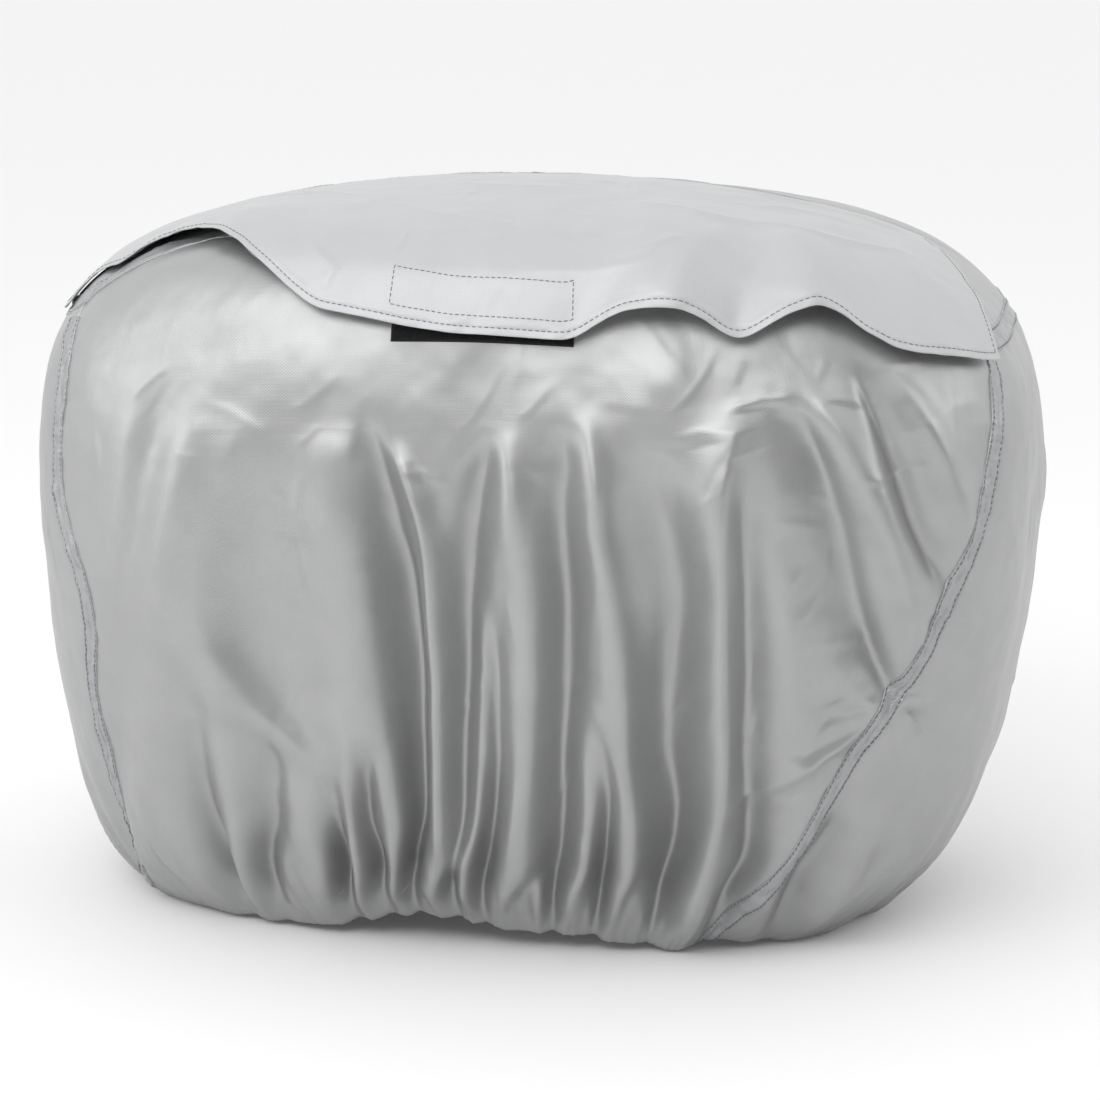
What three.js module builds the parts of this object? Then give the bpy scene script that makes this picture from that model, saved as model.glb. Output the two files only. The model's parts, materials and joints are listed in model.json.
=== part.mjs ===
// Fitted fabric cover for a suitcase-size portable generator.
// Millimetres, +Z up, X across the width, the front faces -Y.
// Origin: middle of the cover's footprint, on the plane the hem stands on.
import * as THREE from 'three';

// ---------------------------------------------------------------- driving dimensions
const HALF_WIDTH = 292;        // half of the overall width at the fullest height
const HALF_DEPTH = 192;        // half of the overall depth
const FABRIC = 2.0;            // thickness of the panel shells
const CROWN = 34;              // how far the top falls from the middle to the sides
const TOP_SEAM_V = 0.605;      // height parameter of the seam round the top panel
const TOP_SEAM_FRONT = 0.095;  // the front panel runs this much further up, under the flap
const HEM_HEIGHT = 20;         // height of the hem casing
const HEM_WALL = 2.4;
const HEM_DEPTH = 10;
const SEAM_HALF = 4.2;         // half width of a felled seam
const SEAM_GAP = 0.5;          // seam band above the panels
const SEAM_THICK = 1.4;
const THREAD_W = 0.9;
const THREAD_T = 0.6;
const OPEN_X = 0, OPEN_Y = -72, OPEN_HALF_X = 150, OPEN_HALF_Y = 42;  // access opening in the top
const BINDING_W = 12;
const HINGE_Y = 45;            // line along which the flap is sewn down
const FLAP_REAR = [-222, 220];
const FLAP_FRONT = [-262, 270];
const FLAP_CLEAR = 4.6;
const FLAP_THICK = 1.8;
const FLAP_HEM_V = 0.572;

const COLS = 14;               // columns in a side panel's grid
const LINES = 12;              // rows in a side panel's grid

const RAD = Math.PI / 180;

// Height, then the scale of the half width (left, right) and of the half depth (front, back).
const ROWS = [
  [0, 0.820, 0.700, 0.720, 0.74], [14, 0.880, 0.755, 0.765, 0.79], [38, 0.930, 0.830, 0.830, 0.85],
  [75, 0.962, 0.900, 0.895, 0.91], [120, 0.978, 0.950, 0.945, 0.95], [175, 0.994, 0.982, 0.980, 0.98],
  [235, 1, 1, 0.998, 1], [290, 0.998, 1, 1, 1], [330, 0.985, 0.990, 0.990, 0.99],
  [360, 0.958, 0.962, 0.962, 0.965], [383, 0.915, 0.915, 0.915, 0.92], [399, 0.850, 0.850, 0.850, 0.86],
  [410, 0.760, 0.760, 0.760, 0.77], [417, 0.640, 0.640, 0.640, 0.65], [421, 0.480, 0.480, 0.480, 0.49],
  [424, 0.280, 0.280, 0.280, 0.285], [425, 0, 0, 0, 0]];

// Seams between the front, side and back panels: height parameter, plan angle in degrees.
const FRONT_RIGHT = [[0, 301.5], [0.042, 302.5], [0.118, 304.2], [0.162, 306.2], [0.201, 307.5], [0.231, 309],
  [0.255, 310.8], [0.283, 313.2], [0.301, 315], [0.345, 318.8], [0.381, 321.5], [0.419, 325], [0.449, 327],
  [0.502, 330.2], [0.552, 333], [0.61, 335.5], [1, 336]];
const FRONT_LEFT = [[0, 208], [0.03, 209], [0.092, 214], [0.13, 216.5], [0.183, 218.2], [0.221, 219.3],
  [0.263, 219.8], [0.289, 221.8], [0.311, 223.6], [0.327, 224.6], [0.345, 224], [0.365, 222.6], [0.389, 219.8],
  [0.413, 218.9], [0.447, 219.6], [0.495, 219.5], [0.538, 218.6], [0.61, 216], [1, 216]];
const BACK_RIGHT = [[0, 57], [0.12, 54], [0.22, 49], [0.3, 44], [0.36, 39.5], [0.42, 34], [0.5, 29], [0.61, 24.5], [1, 24]];
const BACK_LEFT = [[0, 129], [0.12, 131], [0.22, 134], [0.3, 138], [0.36, 140.5], [0.42, 143], [0.5, 146.5], [0.61, 150], [1, 150]];

// Where the free front hem of the flap lies: x, y, z.
const FLAP_HEM = [
  [-262, -66, 371], [-253, -84, 379], [-240, -104, 386], [-224, -128, 393], [-203, -158, 406], [-180, -178, 417],
  [-160, -186, 423], [-143, -187, 421], [-128, -187, 410], [-112, -189, 394], [-96, -189, 380], [-80, -190, 374],
  [-50, -191, 370.5], [-20, -191.5, 369], [20, -191.5, 367], [46, -192, 366], [58, -192, 370], [72, -191, 377], [88, -190, 381.5],
  [104, -188, 383], [120, -186, 379], [136, -185, 370], [148, -184, 369], [162, -182, 379], [176, -180, 386], [190, -176, 384],
  [204, -169, 374], [222, -158, 364], [240, -145, 357.5], [256, -129, 353], [270, -104, 347]];

// ---------------------------------------------------------------- the cover's outer surface
const clamp = (x, a, b) => Math.min(b, Math.max(a, x));
const ease = (x, a, b) => { const t = clamp((x - a) / (b - a), 0, 1); return t * t * (3 - 2 * t); };

function rowAt(v) {
  const n = ROWS.length - 1, x = clamp(v, 0, 1) * n, i = Math.min(Math.floor(x), n - 1), f = x - i;
  const at = (k) => (k < 0 ? ROWS[0].map((a, j) => 2 * a - ROWS[1][j])
    : k > n ? ROWS[n].map((a, j) => 2 * a - ROWS[n - 1][j]) : ROWS[k]);
  const [p0, p1, p2, p3] = [at(i - 1), at(i), at(i + 1), at(i + 2)];
  return p1.map((_, j) => 0.5 * (2 * p1[j] + (p2[j] - p0[j]) * f + (2 * p0[j] - 5 * p1[j] + 4 * p2[j] - p3[j]) * f * f
    + (3 * p1[j] - p0[j] - 3 * p2[j] + p3[j]) * f * f * f));
}

// a is the plan angle: 0 = +X, 90 degrees = back, 270 degrees = front. v runs 0 at the hem to 1 at the crown.
function skin(a, v) {
  const P = rowAt(v), c = Math.cos(a), s = Math.sin(a);
  const wl = 0.5 - 0.5 * Math.tanh(c / 0.35), wf = 0.5 - 0.5 * Math.tanh(s / 0.35);
  const sx = Math.max(P[1] * wl + P[2] * (1 - wl), 1e-6), sy = Math.max(P[3] * wf + P[4] * (1 - wf), 1e-6);
  const n = 2.45 + 0.95 * clamp(P[0] / 230, 0, 1);
  const r = Math.pow(Math.pow(Math.abs(c / sx), n) + Math.pow(Math.abs(s / sy), n), -1 / n);
  const x = HALF_WIDTH * c * r, y = HALF_DEPTH * s * r;
  return new THREE.Vector3(x, y, P[0] - (CROWN - 6 * wl) * (x / HALF_WIDTH) ** 2 * ease(P[0], 200, 415));
}
function skinNormal(a, v) {
  const h = 1e-3, da = skin(a + h, v).sub(skin(a - h, v)), dv = skin(a, Math.min(v + h, 0.9995)).sub(skin(a, v - h < 0 ? 0 : v - h));
  return da.cross(dv).normalize();
}
const lifted = (a, v, d) => skin(a, v).addScaledVector(skinNormal(a, v), d);

function table(T, v) {
  const lin = (q) => {
    if (q <= T[0][0]) return T[0][1];
    for (let i = 1; i < T.length; i++) if (q <= T[i][0]) {
      const f = (q - T[i - 1][0]) / (T[i][0] - T[i - 1][0]);
      return T[i - 1][1] + (T[i][1] - T[i - 1][1]) * f;
    }
    return T[T.length - 1][1];
  };
  let s = 0;
  for (let k = -2; k <= 2; k++) s += lin(v + k * 0.008);
  return (s / 5) * RAD;
}
// Height parameter at a height low on the walls, where the top's crown has no effect.
function vAtHeight(z) {
  let lo = 0, hi = 0.4;
  for (let i = 0; i < 40; i++) { const m = (lo + hi) / 2; if (rowAt(m)[0] < z) lo = m; else hi = m; }
  return (lo + hi) / 2;
}
const V_BOTTOM = vAtHeight(HEM_HEIGHT + 0.6);

// Height of the top at a place in plan.
function topZ(x, y) {
  let lo = 0.45, hi = 1;
  for (let i = 0; i < 36; i++) {
    const m = (lo + hi) / 2, P = rowAt(m);
    const wf = y < 0 ? 1 : 0, sx = Math.max(P[1], 1e-6), sy = Math.max(P[3] * wf + P[4] * (1 - wf), 1e-6);
    const f = Math.pow(Math.abs(x / HALF_WIDTH / sx), 3.4) + Math.pow(Math.abs(y / HALF_DEPTH / sy), 3.4) - 1;
    if (f < 0) lo = m; else hi = m;
  }
  const z = rowAt((lo + hi) / 2)[0];
  const wl = 0.5 - 0.5 * Math.tanh((x / HALF_WIDTH) / 0.35);
  return z - (CROWN - 6 * wl) * (x / HALF_WIDTH) ** 2 * ease(z, 200, 415);
}
function topPoint(x, y, d) {
  const h = 2, n = new THREE.Vector3((topZ(x - h, y) - topZ(x + h, y)) / (2 * h), (topZ(x, y - h) - topZ(x, y + h)) / (2 * h), 1).normalize();
  return new THREE.Vector3(x, y, topZ(x, y)).addScaledVector(n, d);
}

// Plan angle on the front half where the surface is at x.
function frontAngle(x, v) {
  let lo = Math.PI, hi = 2 * Math.PI;
  for (let i = 0; i < 40; i++) { const m = (lo + hi) / 2; if (skin(m, v).x < x) lo = m; else hi = m; }
  return (lo + hi) / 2;
}

// ---------------------------------------------------------------- closed bodies from grids
function body(vertices, faces) {
  let vol = 0;
  for (const [a, b, c] of faces) vol += vertices[a].dot(vertices[b].clone().cross(vertices[c]));
  const F = vol < 0 ? faces.map(([a, b, c]) => [a, c, b]) : faces;
  const g = new THREE.BufferGeometry();
  g.setAttribute('position', new THREE.Float32BufferAttribute(vertices.flatMap((p) => [p.x, p.y, p.z]), 3));
  g.setIndex(F.flat());
  g.computeVertexNormals();
  return g;
}
const quad = (F, a, b, c, d) => { F.push([a, b, c], [a, c, d]); };

// Shell between an outer and an inner grid; both are [column][row] arrays of points.
function shell(outer, inner, ring = false) {
  const n = outer.length, m = outer[0].length, V = [], F = [];
  for (const G of [outer, inner]) for (const col of G) for (const p of col) V.push(p);
  const o = (i, j) => (i % n) * m + j, q = (i, j) => n * m + (i % n) * m + j, N = ring ? n : n - 1;
  for (let i = 0; i < N; i++) for (let j = 0; j < m - 1; j++) {
    quad(F, o(i, j), o(i + 1, j), o(i + 1, j + 1), o(i, j + 1));
    quad(F, q(i, j), q(i, j + 1), q(i + 1, j + 1), q(i + 1, j));
  }
  for (let i = 0; i < N; i++) {
    quad(F, o(i, 0), q(i, 0), q(i + 1, 0), o(i + 1, 0));
    quad(F, o(i, m - 1), o(i + 1, m - 1), q(i + 1, m - 1), q(i, m - 1));
  }
  if (!ring) for (let j = 0; j < m - 1; j++) {
    quad(F, o(0, j), o(0, j + 1), q(0, j + 1), q(0, j));
    quad(F, o(n - 1, j), q(n - 1, j), q(n - 1, j + 1), o(n - 1, j + 1));
  }
  return body(V, F);
}

// Solid swept through sections: each section is a list of points in the same order.
function loft(sections, ring = false) {
  const n = sections.length, m = sections[0].length, V = sections.flat(), F = [];
  for (let i = 0; i < (ring ? n : n - 1); i++) for (let j = 0; j < m; j++) {
    const a = i * m + j, b = ((i + 1) % n) * m + j, c = ((i + 1) % n) * m + (j + 1) % m, d = i * m + (j + 1) % m;
    quad(F, a, b, c, d);
  }
  if (!ring) {
    for (let j = 1; j < m - 1; j++) F.push([0, j, j + 1], [(n - 1) * m, (n - 1) * m + j + 1, (n - 1) * m + j]);
  }
  return body(V, F);
}

// Ribbon on a path of {p, n} (point and surface normal): half width, lower and upper offset, sideways shift.
// A seam band is flat; a row of thread has three sides.
function ribbon(path, half, low, high, shift = 0, ring = false) {
  const n = path.length, S = [];
  for (let i = 0; i < n; i++) {
    const a = path[ring ? (i + n - 1) % n : Math.max(i - 1, 0)].p, b = path[ring ? (i + 1) % n : Math.min(i + 1, n - 1)].p;
    const w = path[i].n.clone().cross(b.clone().sub(a)).normalize();
    const at = (s, d) => path[i].p.clone().addScaledVector(w, shift + s).addScaledVector(path[i].n, d);
    S.push(half > 1 ? [at(-half, low), at(half, low), at(half, high), at(-half, high)] : [at(-half, low), at(half, low), at(0, high)]);
  }
  return loft(S, ring);
}

// ---------------------------------------------------------------- colours
const CLOTH = { color: 0xc3c6c9, roughness: 0.45, metalness: 0.25 };
const BAND = { color: 0xb9bcc0, roughness: 0.5, metalness: 0.2 };
const THREAD = { color: 0x70747a, roughness: 0.7, metalness: 0.0 };
const HOOK = { color: 0x17181a, roughness: 0.9, metalness: 0.0 };
const RUBBER = { color: 0xe4e2dc, roughness: 0.8, metalness: 0.0 };
const cover = new THREE.Group();
function add(name, geometry, look) {
  const mesh = new THREE.Mesh(geometry, new THREE.MeshStandardMaterial(look));
  mesh.name = name;
  cover.add(mesh);
}

// ---------------------------------------------------------------- wall panels
const edgeV = (w) => V_BOTTOM + (TOP_SEAM_V - V_BOTTOM) * w;
const topSeamV = (u, front) => TOP_SEAM_V + (front ? TOP_SEAM_FRONT * ease(u, 0, 0.16) * ease(1 - u, 0, 0.16) : 0);
const WALLS = [
  { name: 'front_panel', left: FRONT_LEFT, right: FRONT_RIGHT, front: true, turn: [0, 0] },
  { name: 'right_side_panel', left: FRONT_RIGHT, right: BACK_RIGHT, front: false, turn: [0, 2 * Math.PI] },
  { name: 'back_panel', left: BACK_RIGHT, right: BACK_LEFT, front: false, turn: [0, 0] },
  { name: 'left_side_panel', left: BACK_LEFT, right: FRONT_LEFT, front: false, turn: [0, 0] }];
const EDGE_A = 0.0014, EDGE_V = 0.0011;

function wallAngle(W, u, v) {
  const a = table(W.left, v) + W.turn[0] + EDGE_A, b = table(W.right, v) + W.turn[1] - EDGE_A;
  return a + (b - a) * u;
}
const topAngles = [];
for (const W of WALLS) {
  const outer = [], inner = [];
  for (let i = 0; i <= COLS; i++) {
    const u = i / COLS, vt = topSeamV(u, W.front), co = [], ci = [];
    for (let j = 0; j <= LINES; j++) {
      const v = V_BOTTOM + (vt - EDGE_V - V_BOTTOM) * (j / LINES), a = wallAngle(W, u, v);
      co.push(lifted(a, v, 0)); ci.push(lifted(a, v, -FABRIC));
    }
    outer.push(co); inner.push(ci);
    topAngles.push({ a: wallAngle(W, u, vt), v: vt, wall: W.name, i });
  }
  add(W.name, shell(outer, inner), CLOTH);
}

// ---------------------------------------------------------------- top panel with its access opening
function openingPoint(x, y, grow) {
  const hx = OPEN_HALF_X + grow, hy = OPEN_HALF_Y + grow;
  const a = Math.atan2((y - OPEN_Y) / hy, (x - OPEN_X) / hx), c = Math.cos(a), s = Math.sin(a), n = 5;
  const r = Math.pow(Math.pow(Math.abs(c), n) + Math.pow(Math.abs(s), n), -1 / n);
  return [OPEN_X + hx * c * r, OPEN_Y + hy * s * r];
}
{
  const outer = [], inner = [];
  for (const T of topAngles) {
    const co = [], ci = [], v0 = T.v + EDGE_V;
    for (let k = 0; k <= 3; k++) {
      const v = v0 + (0.80 - v0) * (k / 3);
      co.push(lifted(T.a, v, 0)); ci.push(lifted(T.a, v, -FABRIC));
    }
    const e = co[3], o = openingPoint(e.x, e.y, 0);
    for (let k = 1; k <= 3; k++) {
      const f = k / 3, x = e.x + (o[0] - e.x) * f, y = e.y + (o[1] - e.y) * f;
      co.push(topPoint(x, y, 0)); ci.push(topPoint(x, y, -FABRIC));
    }
    outer.push(co); inner.push(ci);
  }
  add('top_panel', shell(outer, inner, true), CLOTH);
}
{
  const sections = [];
  for (let k = 0; k < 48; k++) {
    const a = (k / 48) * 2 * Math.PI, dx = Math.cos(a) * OPEN_HALF_X, dy = Math.sin(a) * OPEN_HALF_Y;
    const p = openingPoint(OPEN_X + dx, OPEN_Y + dy, 0), q = openingPoint(OPEN_X + dx, OPEN_Y + dy, BINDING_W);
    sections.push([topPoint(p[0], p[1], SEAM_GAP), topPoint(q[0], q[1], SEAM_GAP), topPoint(q[0], q[1], SEAM_GAP + 1.2), topPoint(p[0], p[1], SEAM_GAP + 1.2)]);
  }
  add('opening_binding', loft(sections, true), BAND);
}

// ---------------------------------------------------------------- felled seams and their stitch rows
const V_TOPEND = TOP_SEAM_V - 0.0145, V_LOWEND = vAtHeight(HEM_HEIGHT + 2.5);
function wallSeamPath(T) {
  const P = [];
  for (let j = 0; j <= LINES; j++) {
    const v = clamp(V_BOTTOM + (TOP_SEAM_V - EDGE_V - V_BOTTOM) * (j / LINES), V_LOWEND, V_TOPEND), a = table(T, v);
    P.push({ p: skin(a, v), n: skinNormal(a, v) });
  }
  return P;
}
const STITCH_LOW = SEAM_GAP + SEAM_THICK + 0.35;
for (const [name, T] of [['front_right_seam', FRONT_RIGHT], ['back_right_seam', BACK_RIGHT], ['back_left_seam', BACK_LEFT], ['front_left_seam', FRONT_LEFT]]) {
  const P = wallSeamPath(T);
  add(name, ribbon(P, SEAM_HALF, SEAM_GAP, SEAM_GAP + SEAM_THICK), BAND);
  add(name + '_stitching_a', ribbon(P, THREAD_W / 2, STITCH_LOW, STITCH_LOW + THREAD_T, -3.2), THREAD);
  add(name + '_stitching_b', ribbon(P, THREAD_W / 2, STITCH_LOW, STITCH_LOW + THREAD_T, 3.2), THREAD);
}
for (const W of WALLS) {
  const P = topAngles.filter((T) => T.wall === W.name).map((T, i) => {
    let a = T.a;
    if (i === 0) a += 0.022;
    if (i === COLS) a -= 0.022;
    const v = i === 0 || i === COLS ? TOP_SEAM_V : T.v;
    return { p: skin(a, v), n: skinNormal(a, v) };
  });
  const name = 'top_' + W.name.replace('_panel', '').replace('_side', '') + '_seam';
  add(name, ribbon(P, SEAM_HALF, SEAM_GAP, SEAM_GAP + SEAM_THICK), BAND);
  add(name + '_stitching', ribbon(P, THREAD_W / 2, STITCH_LOW, STITCH_LOW + THREAD_T, 3.2), THREAD);
}

// ---------------------------------------------------------------- hem casing and elastic
const HEM_STEPS = 56;
function hemSection(a, pairs) {
  // pairs of (distance in from the outside, height)
  const h = 1e-3, t = skin(a + h, 0).sub(skin(a - h, 0)), n = new THREE.Vector3(t.y, -t.x, 0).normalize();
  return pairs.map(([d, z]) => {
    const p = skin(a, 0).lerp(skin(a, vAtHeight(HEM_HEIGHT)), z / HEM_HEIGHT);
    return new THREE.Vector3(p.x - n.x * d, p.y - n.y * d, z);
  });
}
const HEM_PROFILE = [[0, 0], [0, HEM_HEIGHT], [HEM_WALL, HEM_HEIGHT], [HEM_WALL, HEM_WALL], [HEM_DEPTH - HEM_WALL, HEM_WALL],
  [HEM_DEPTH - HEM_WALL, HEM_HEIGHT], [HEM_DEPTH, HEM_HEIGHT], [HEM_DEPTH, 0]];
const ring = (pairs) => {
  const S = [];
  for (let k = 0; k < HEM_STEPS; k++) S.push(hemSection((k / HEM_STEPS) * 2 * Math.PI, pairs));
  return loft(S, true);
};
// The section is not convex, so its ring is lofted without end caps and needs none.
add('hem_casing', ring(HEM_PROFILE), BAND);
add('hem_elastic', ring([[3.4, 3.6], [3.4, 14], [6.6, 14], [6.6, 3.6]]), RUBBER);
add('hem_casing_stitching', ring([[-1.0, 14.2], [-1.0, 15.2], [-0.4, 15.2], [-0.4, 14.2]]), THREAD);

// ---------------------------------------------------------------- flap, hook strip and loop strip
function hemAt(x) {
  const T = FLAP_HEM;
  let i = 1;
  while (i < T.length - 1 && x > T[i][0]) i++;
  const f = clamp((x - T[i - 1][0]) / (T[i][0] - T[i - 1][0]), 0, 1);
  return new THREE.Vector3(T[i - 1][0] + (T[i][0] - T[i - 1][0]) * f, T[i - 1][1] + (T[i][1] - T[i - 1][1]) * f, T[i - 1][2] + (T[i][2] - T[i - 1][2]) * f);
}
// Path of the flap at one station: over the top from the hinge line, round the edge and down to the hem.
function flapStation(u, count) {
  const xr = FLAP_REAR[0] + (FLAP_REAR[1] - FLAP_REAR[0]) * u, xf = FLAP_FRONT[0] + (FLAP_FRONT[1] - FLAP_FRONT[0]) * u;
  const pts = [], y0 = HINGE_Y - 4.7;
  // first over the top in plan, from the hinge line to y = -60
  const hem = hemAt(xf), side = Math.abs(xf) > 200;
  const plan = side ? Math.max(hem.y + 20, -60) : -60;
  for (let k = 0; k <= 24; k++) {
    const y = y0 + (plan - y0) * (k / 24), f = (y0 - y) / (y0 - hem.y), x = xr + (xf - xr) * f;
    pts.push({ p: new THREE.Vector3(x, y, topZ(x, y)), n: topPoint(x, y, 1).sub(topPoint(x, y, 0)) });
  }
  // then along the surface's own lines down to the hem height
  const last = pts[pts.length - 1].p;
  let lo = 0.5, hi = 1;
  for (let i = 0; i < 40; i++) { const m = (lo + hi) / 2; if (skin(frontAngle(last.x, m), m).y < last.y) lo = m; else hi = m; }
  const vs = (lo + hi) / 2, ve = side ? Math.max(FLAP_HEM_V, hemV(hem)) : FLAP_HEM_V;
  for (let k = 1; k <= 40; k++) {
    const v = vs + (ve - vs) * (k / 40), x = last.x + (xf - last.x) * (k / 40), a = frontAngle(x, v);
    pts.push({ p: skin(a, v), n: skinNormal(a, v) });
  }
  const L = [0];
  for (let i = 1; i < pts.length; i++) L.push(L[i - 1] + pts[i].p.distanceTo(pts[i - 1].p));
  const total = L[L.length - 1], end = pts[pts.length - 1];
  const shift = hem.clone().sub(end.p.clone().addScaledVector(end.n, FLAP_CLEAR + FLAP_THICK));
  const out = [];
  for (let j = 0; j <= count; j++) {
    const w = j === count ? 1 : j === count - 1 ? 1 - 10 / total : (j / (count - 1)) * (1 - 10 / total);
    const s = w * total;
    let i = 1;
    while (i < L.length - 1 && L[i] < s) i++;
    const f = clamp((s - L[i - 1]) / (L[i] - L[i - 1]), 0, 1);
    const p = pts[i - 1].p.clone().lerp(pts[i].p, f), n = pts[i - 1].n.clone().lerp(pts[i].n, f).normalize();
    const clear = 1.0 + (FLAP_CLEAR - 1.0) * ease(s, 0, 40), g = Math.pow(ease(w, 0.30, 1.12) / ease(1, 0.30, 1.12), 2.2);
    out.push(p.addScaledVector(n, clear + FLAP_THICK).addScaledVector(shift, g));
  }
  return out;
}
function hemV(hem) {
  let lo = 0.5, hi = 0.75;
  for (let i = 0; i < 30; i++) { const m = (lo + hi) / 2; if (skin(frontAngle(hem.x, m), m).z < hem.z) lo = m; else hi = m; }
  return (lo + hi) / 2;
}
const FLAP_U = 34, FLAP_W = 13;
const flapOuter = [];
for (let i = 0; i <= FLAP_U; i++) flapOuter.push(flapStation(i / FLAP_U, FLAP_W));
const flapNormals = flapOuter.map((col, i) => col.map((p, j) => {
  const a = flapOuter[Math.max(i - 1, 0)][j], b = flapOuter[Math.min(i + 1, FLAP_U)][j];
  const c = col[Math.max(j - 1, 0)], d = col[Math.min(j + 1, FLAP_W)];
  return c.clone().sub(d).cross(a.clone().sub(b)).normalize();
}));
if (flapNormals[17][5].z < 0) for (const col of flapNormals) for (const n of col) n.negate();
add('top_flap', shell(flapOuter, flapOuter.map((col, i) => col.map((p, j) => p.clone().addScaledVector(flapNormals[i][j], -FLAP_THICK)))), CLOTH);

// Point on the flap's outer faces at station u (0 to FLAP_U) and row w (0 to FLAP_W).
function onFlap(u, w, d) {
  const i = Math.min(Math.floor(u), FLAP_U - 1), j = Math.min(Math.floor(w), FLAP_W - 1), fu = u - i, fw = w - j;
  const mix = (G) => G[i][j].clone().lerp(G[i + 1][j], fu).lerp(G[i][j + 1].clone().lerp(G[i + 1][j + 1], fu), fw);
  const n = mix(flapNormals).normalize();
  return { p: mix(flapOuter).addScaledVector(n, d), n };
}
{
  const P = [];
  for (let i = 0; i <= FLAP_U; i++) P.push(onFlap(clamp(i, 0.3, FLAP_U - 0.3), FLAP_W - 0.5, 0));
  add('flap_hem_stitching', ribbon(P, THREAD_W / 2, 1.2, 1.2 + THREAD_T), THREAD);
}
{
  // seam band along the hinge line, on the cover
  const P = [];
  for (let k = 0; k <= 28; k++) {
    const x = FLAP_REAR[0] + 1 + (FLAP_REAR[1] - FLAP_REAR[0] - 2) * (k / 28);
    P.push({ p: new THREE.Vector3(x, HINGE_Y, topZ(x, HINGE_Y)), n: topPoint(x, HINGE_Y, 1).sub(topPoint(x, HINGE_Y, 0)) });
  }
  add('flap_rear_seam', ribbon(P, SEAM_HALF, SEAM_GAP, SEAM_GAP + SEAM_THICK), BAND);
  add('flap_rear_stitching_a', ribbon(P, THREAD_W / 2, STITCH_LOW, STITCH_LOW + THREAD_T, -3.2), THREAD);
  add('flap_rear_stitching_b', ribbon(P, THREAD_W / 2, STITCH_LOW, STITCH_LOW + THREAD_T, 3.2), THREAD);
}
// Strips of hook and loop at the middle of the front: x from -51 to 51.
function strip(x0, x1, v0, v1, low, high) {
  const outer = [], inner = [];
  for (let i = 0; i <= 8; i++) {
    const co = [], ci = [];
    for (let j = 0; j <= 2; j++) {
      const v = v0 + (v1 - v0) * (j / 2), a = frontAngle(x0 + (x1 - x0) * (i / 8), v);
      co.push(lifted(a, v, high)); ci.push(lifted(a, v, low));
    }
    outer.push(co); inner.push(ci);
  }
  return shell(outer, inner);
}
add('loop_strip', strip(-51, 51, 0.562, 0.620, 0.6, 1.8), HOOK);
add('hook_strip', strip(-51, 51, 0.587, 0.640, 2.5, 3.7), HOOK);
{
  // stitched box that holds the hook strip, on the flap's outside
  const u0 = FLAP_U * (-51 - FLAP_FRONT[0]) / (FLAP_FRONT[1] - FLAP_FRONT[0]), u1 = FLAP_U * (51 - FLAP_FRONT[0]) / (FLAP_FRONT[1] - FLAP_FRONT[0]);
  const w0 = FLAP_W - 0.8, w1 = FLAP_W - 1.75, P = [];
  for (let k = 0; k < 8; k++) P.push([u0 + (u1 - u0) * (k / 8), w0]);
  for (let k = 0; k < 2; k++) P.push([u1, w0 + (w1 - w0) * (k / 2)]);
  for (let k = 0; k < 8; k++) P.push([u1 + (u0 - u1) * (k / 8), w1]);
  for (let k = 0; k < 2; k++) P.push([u0, w1 + (w0 - w1) * (k / 2)]);
  add('hook_strip_stitching', ribbon(P.map(([u, w]) => onFlap(u, w, 0)), THREAD_W / 2, 1.0, 1.0 + THREAD_T, 0, true), THREAD);
}

export default cover;
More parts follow.
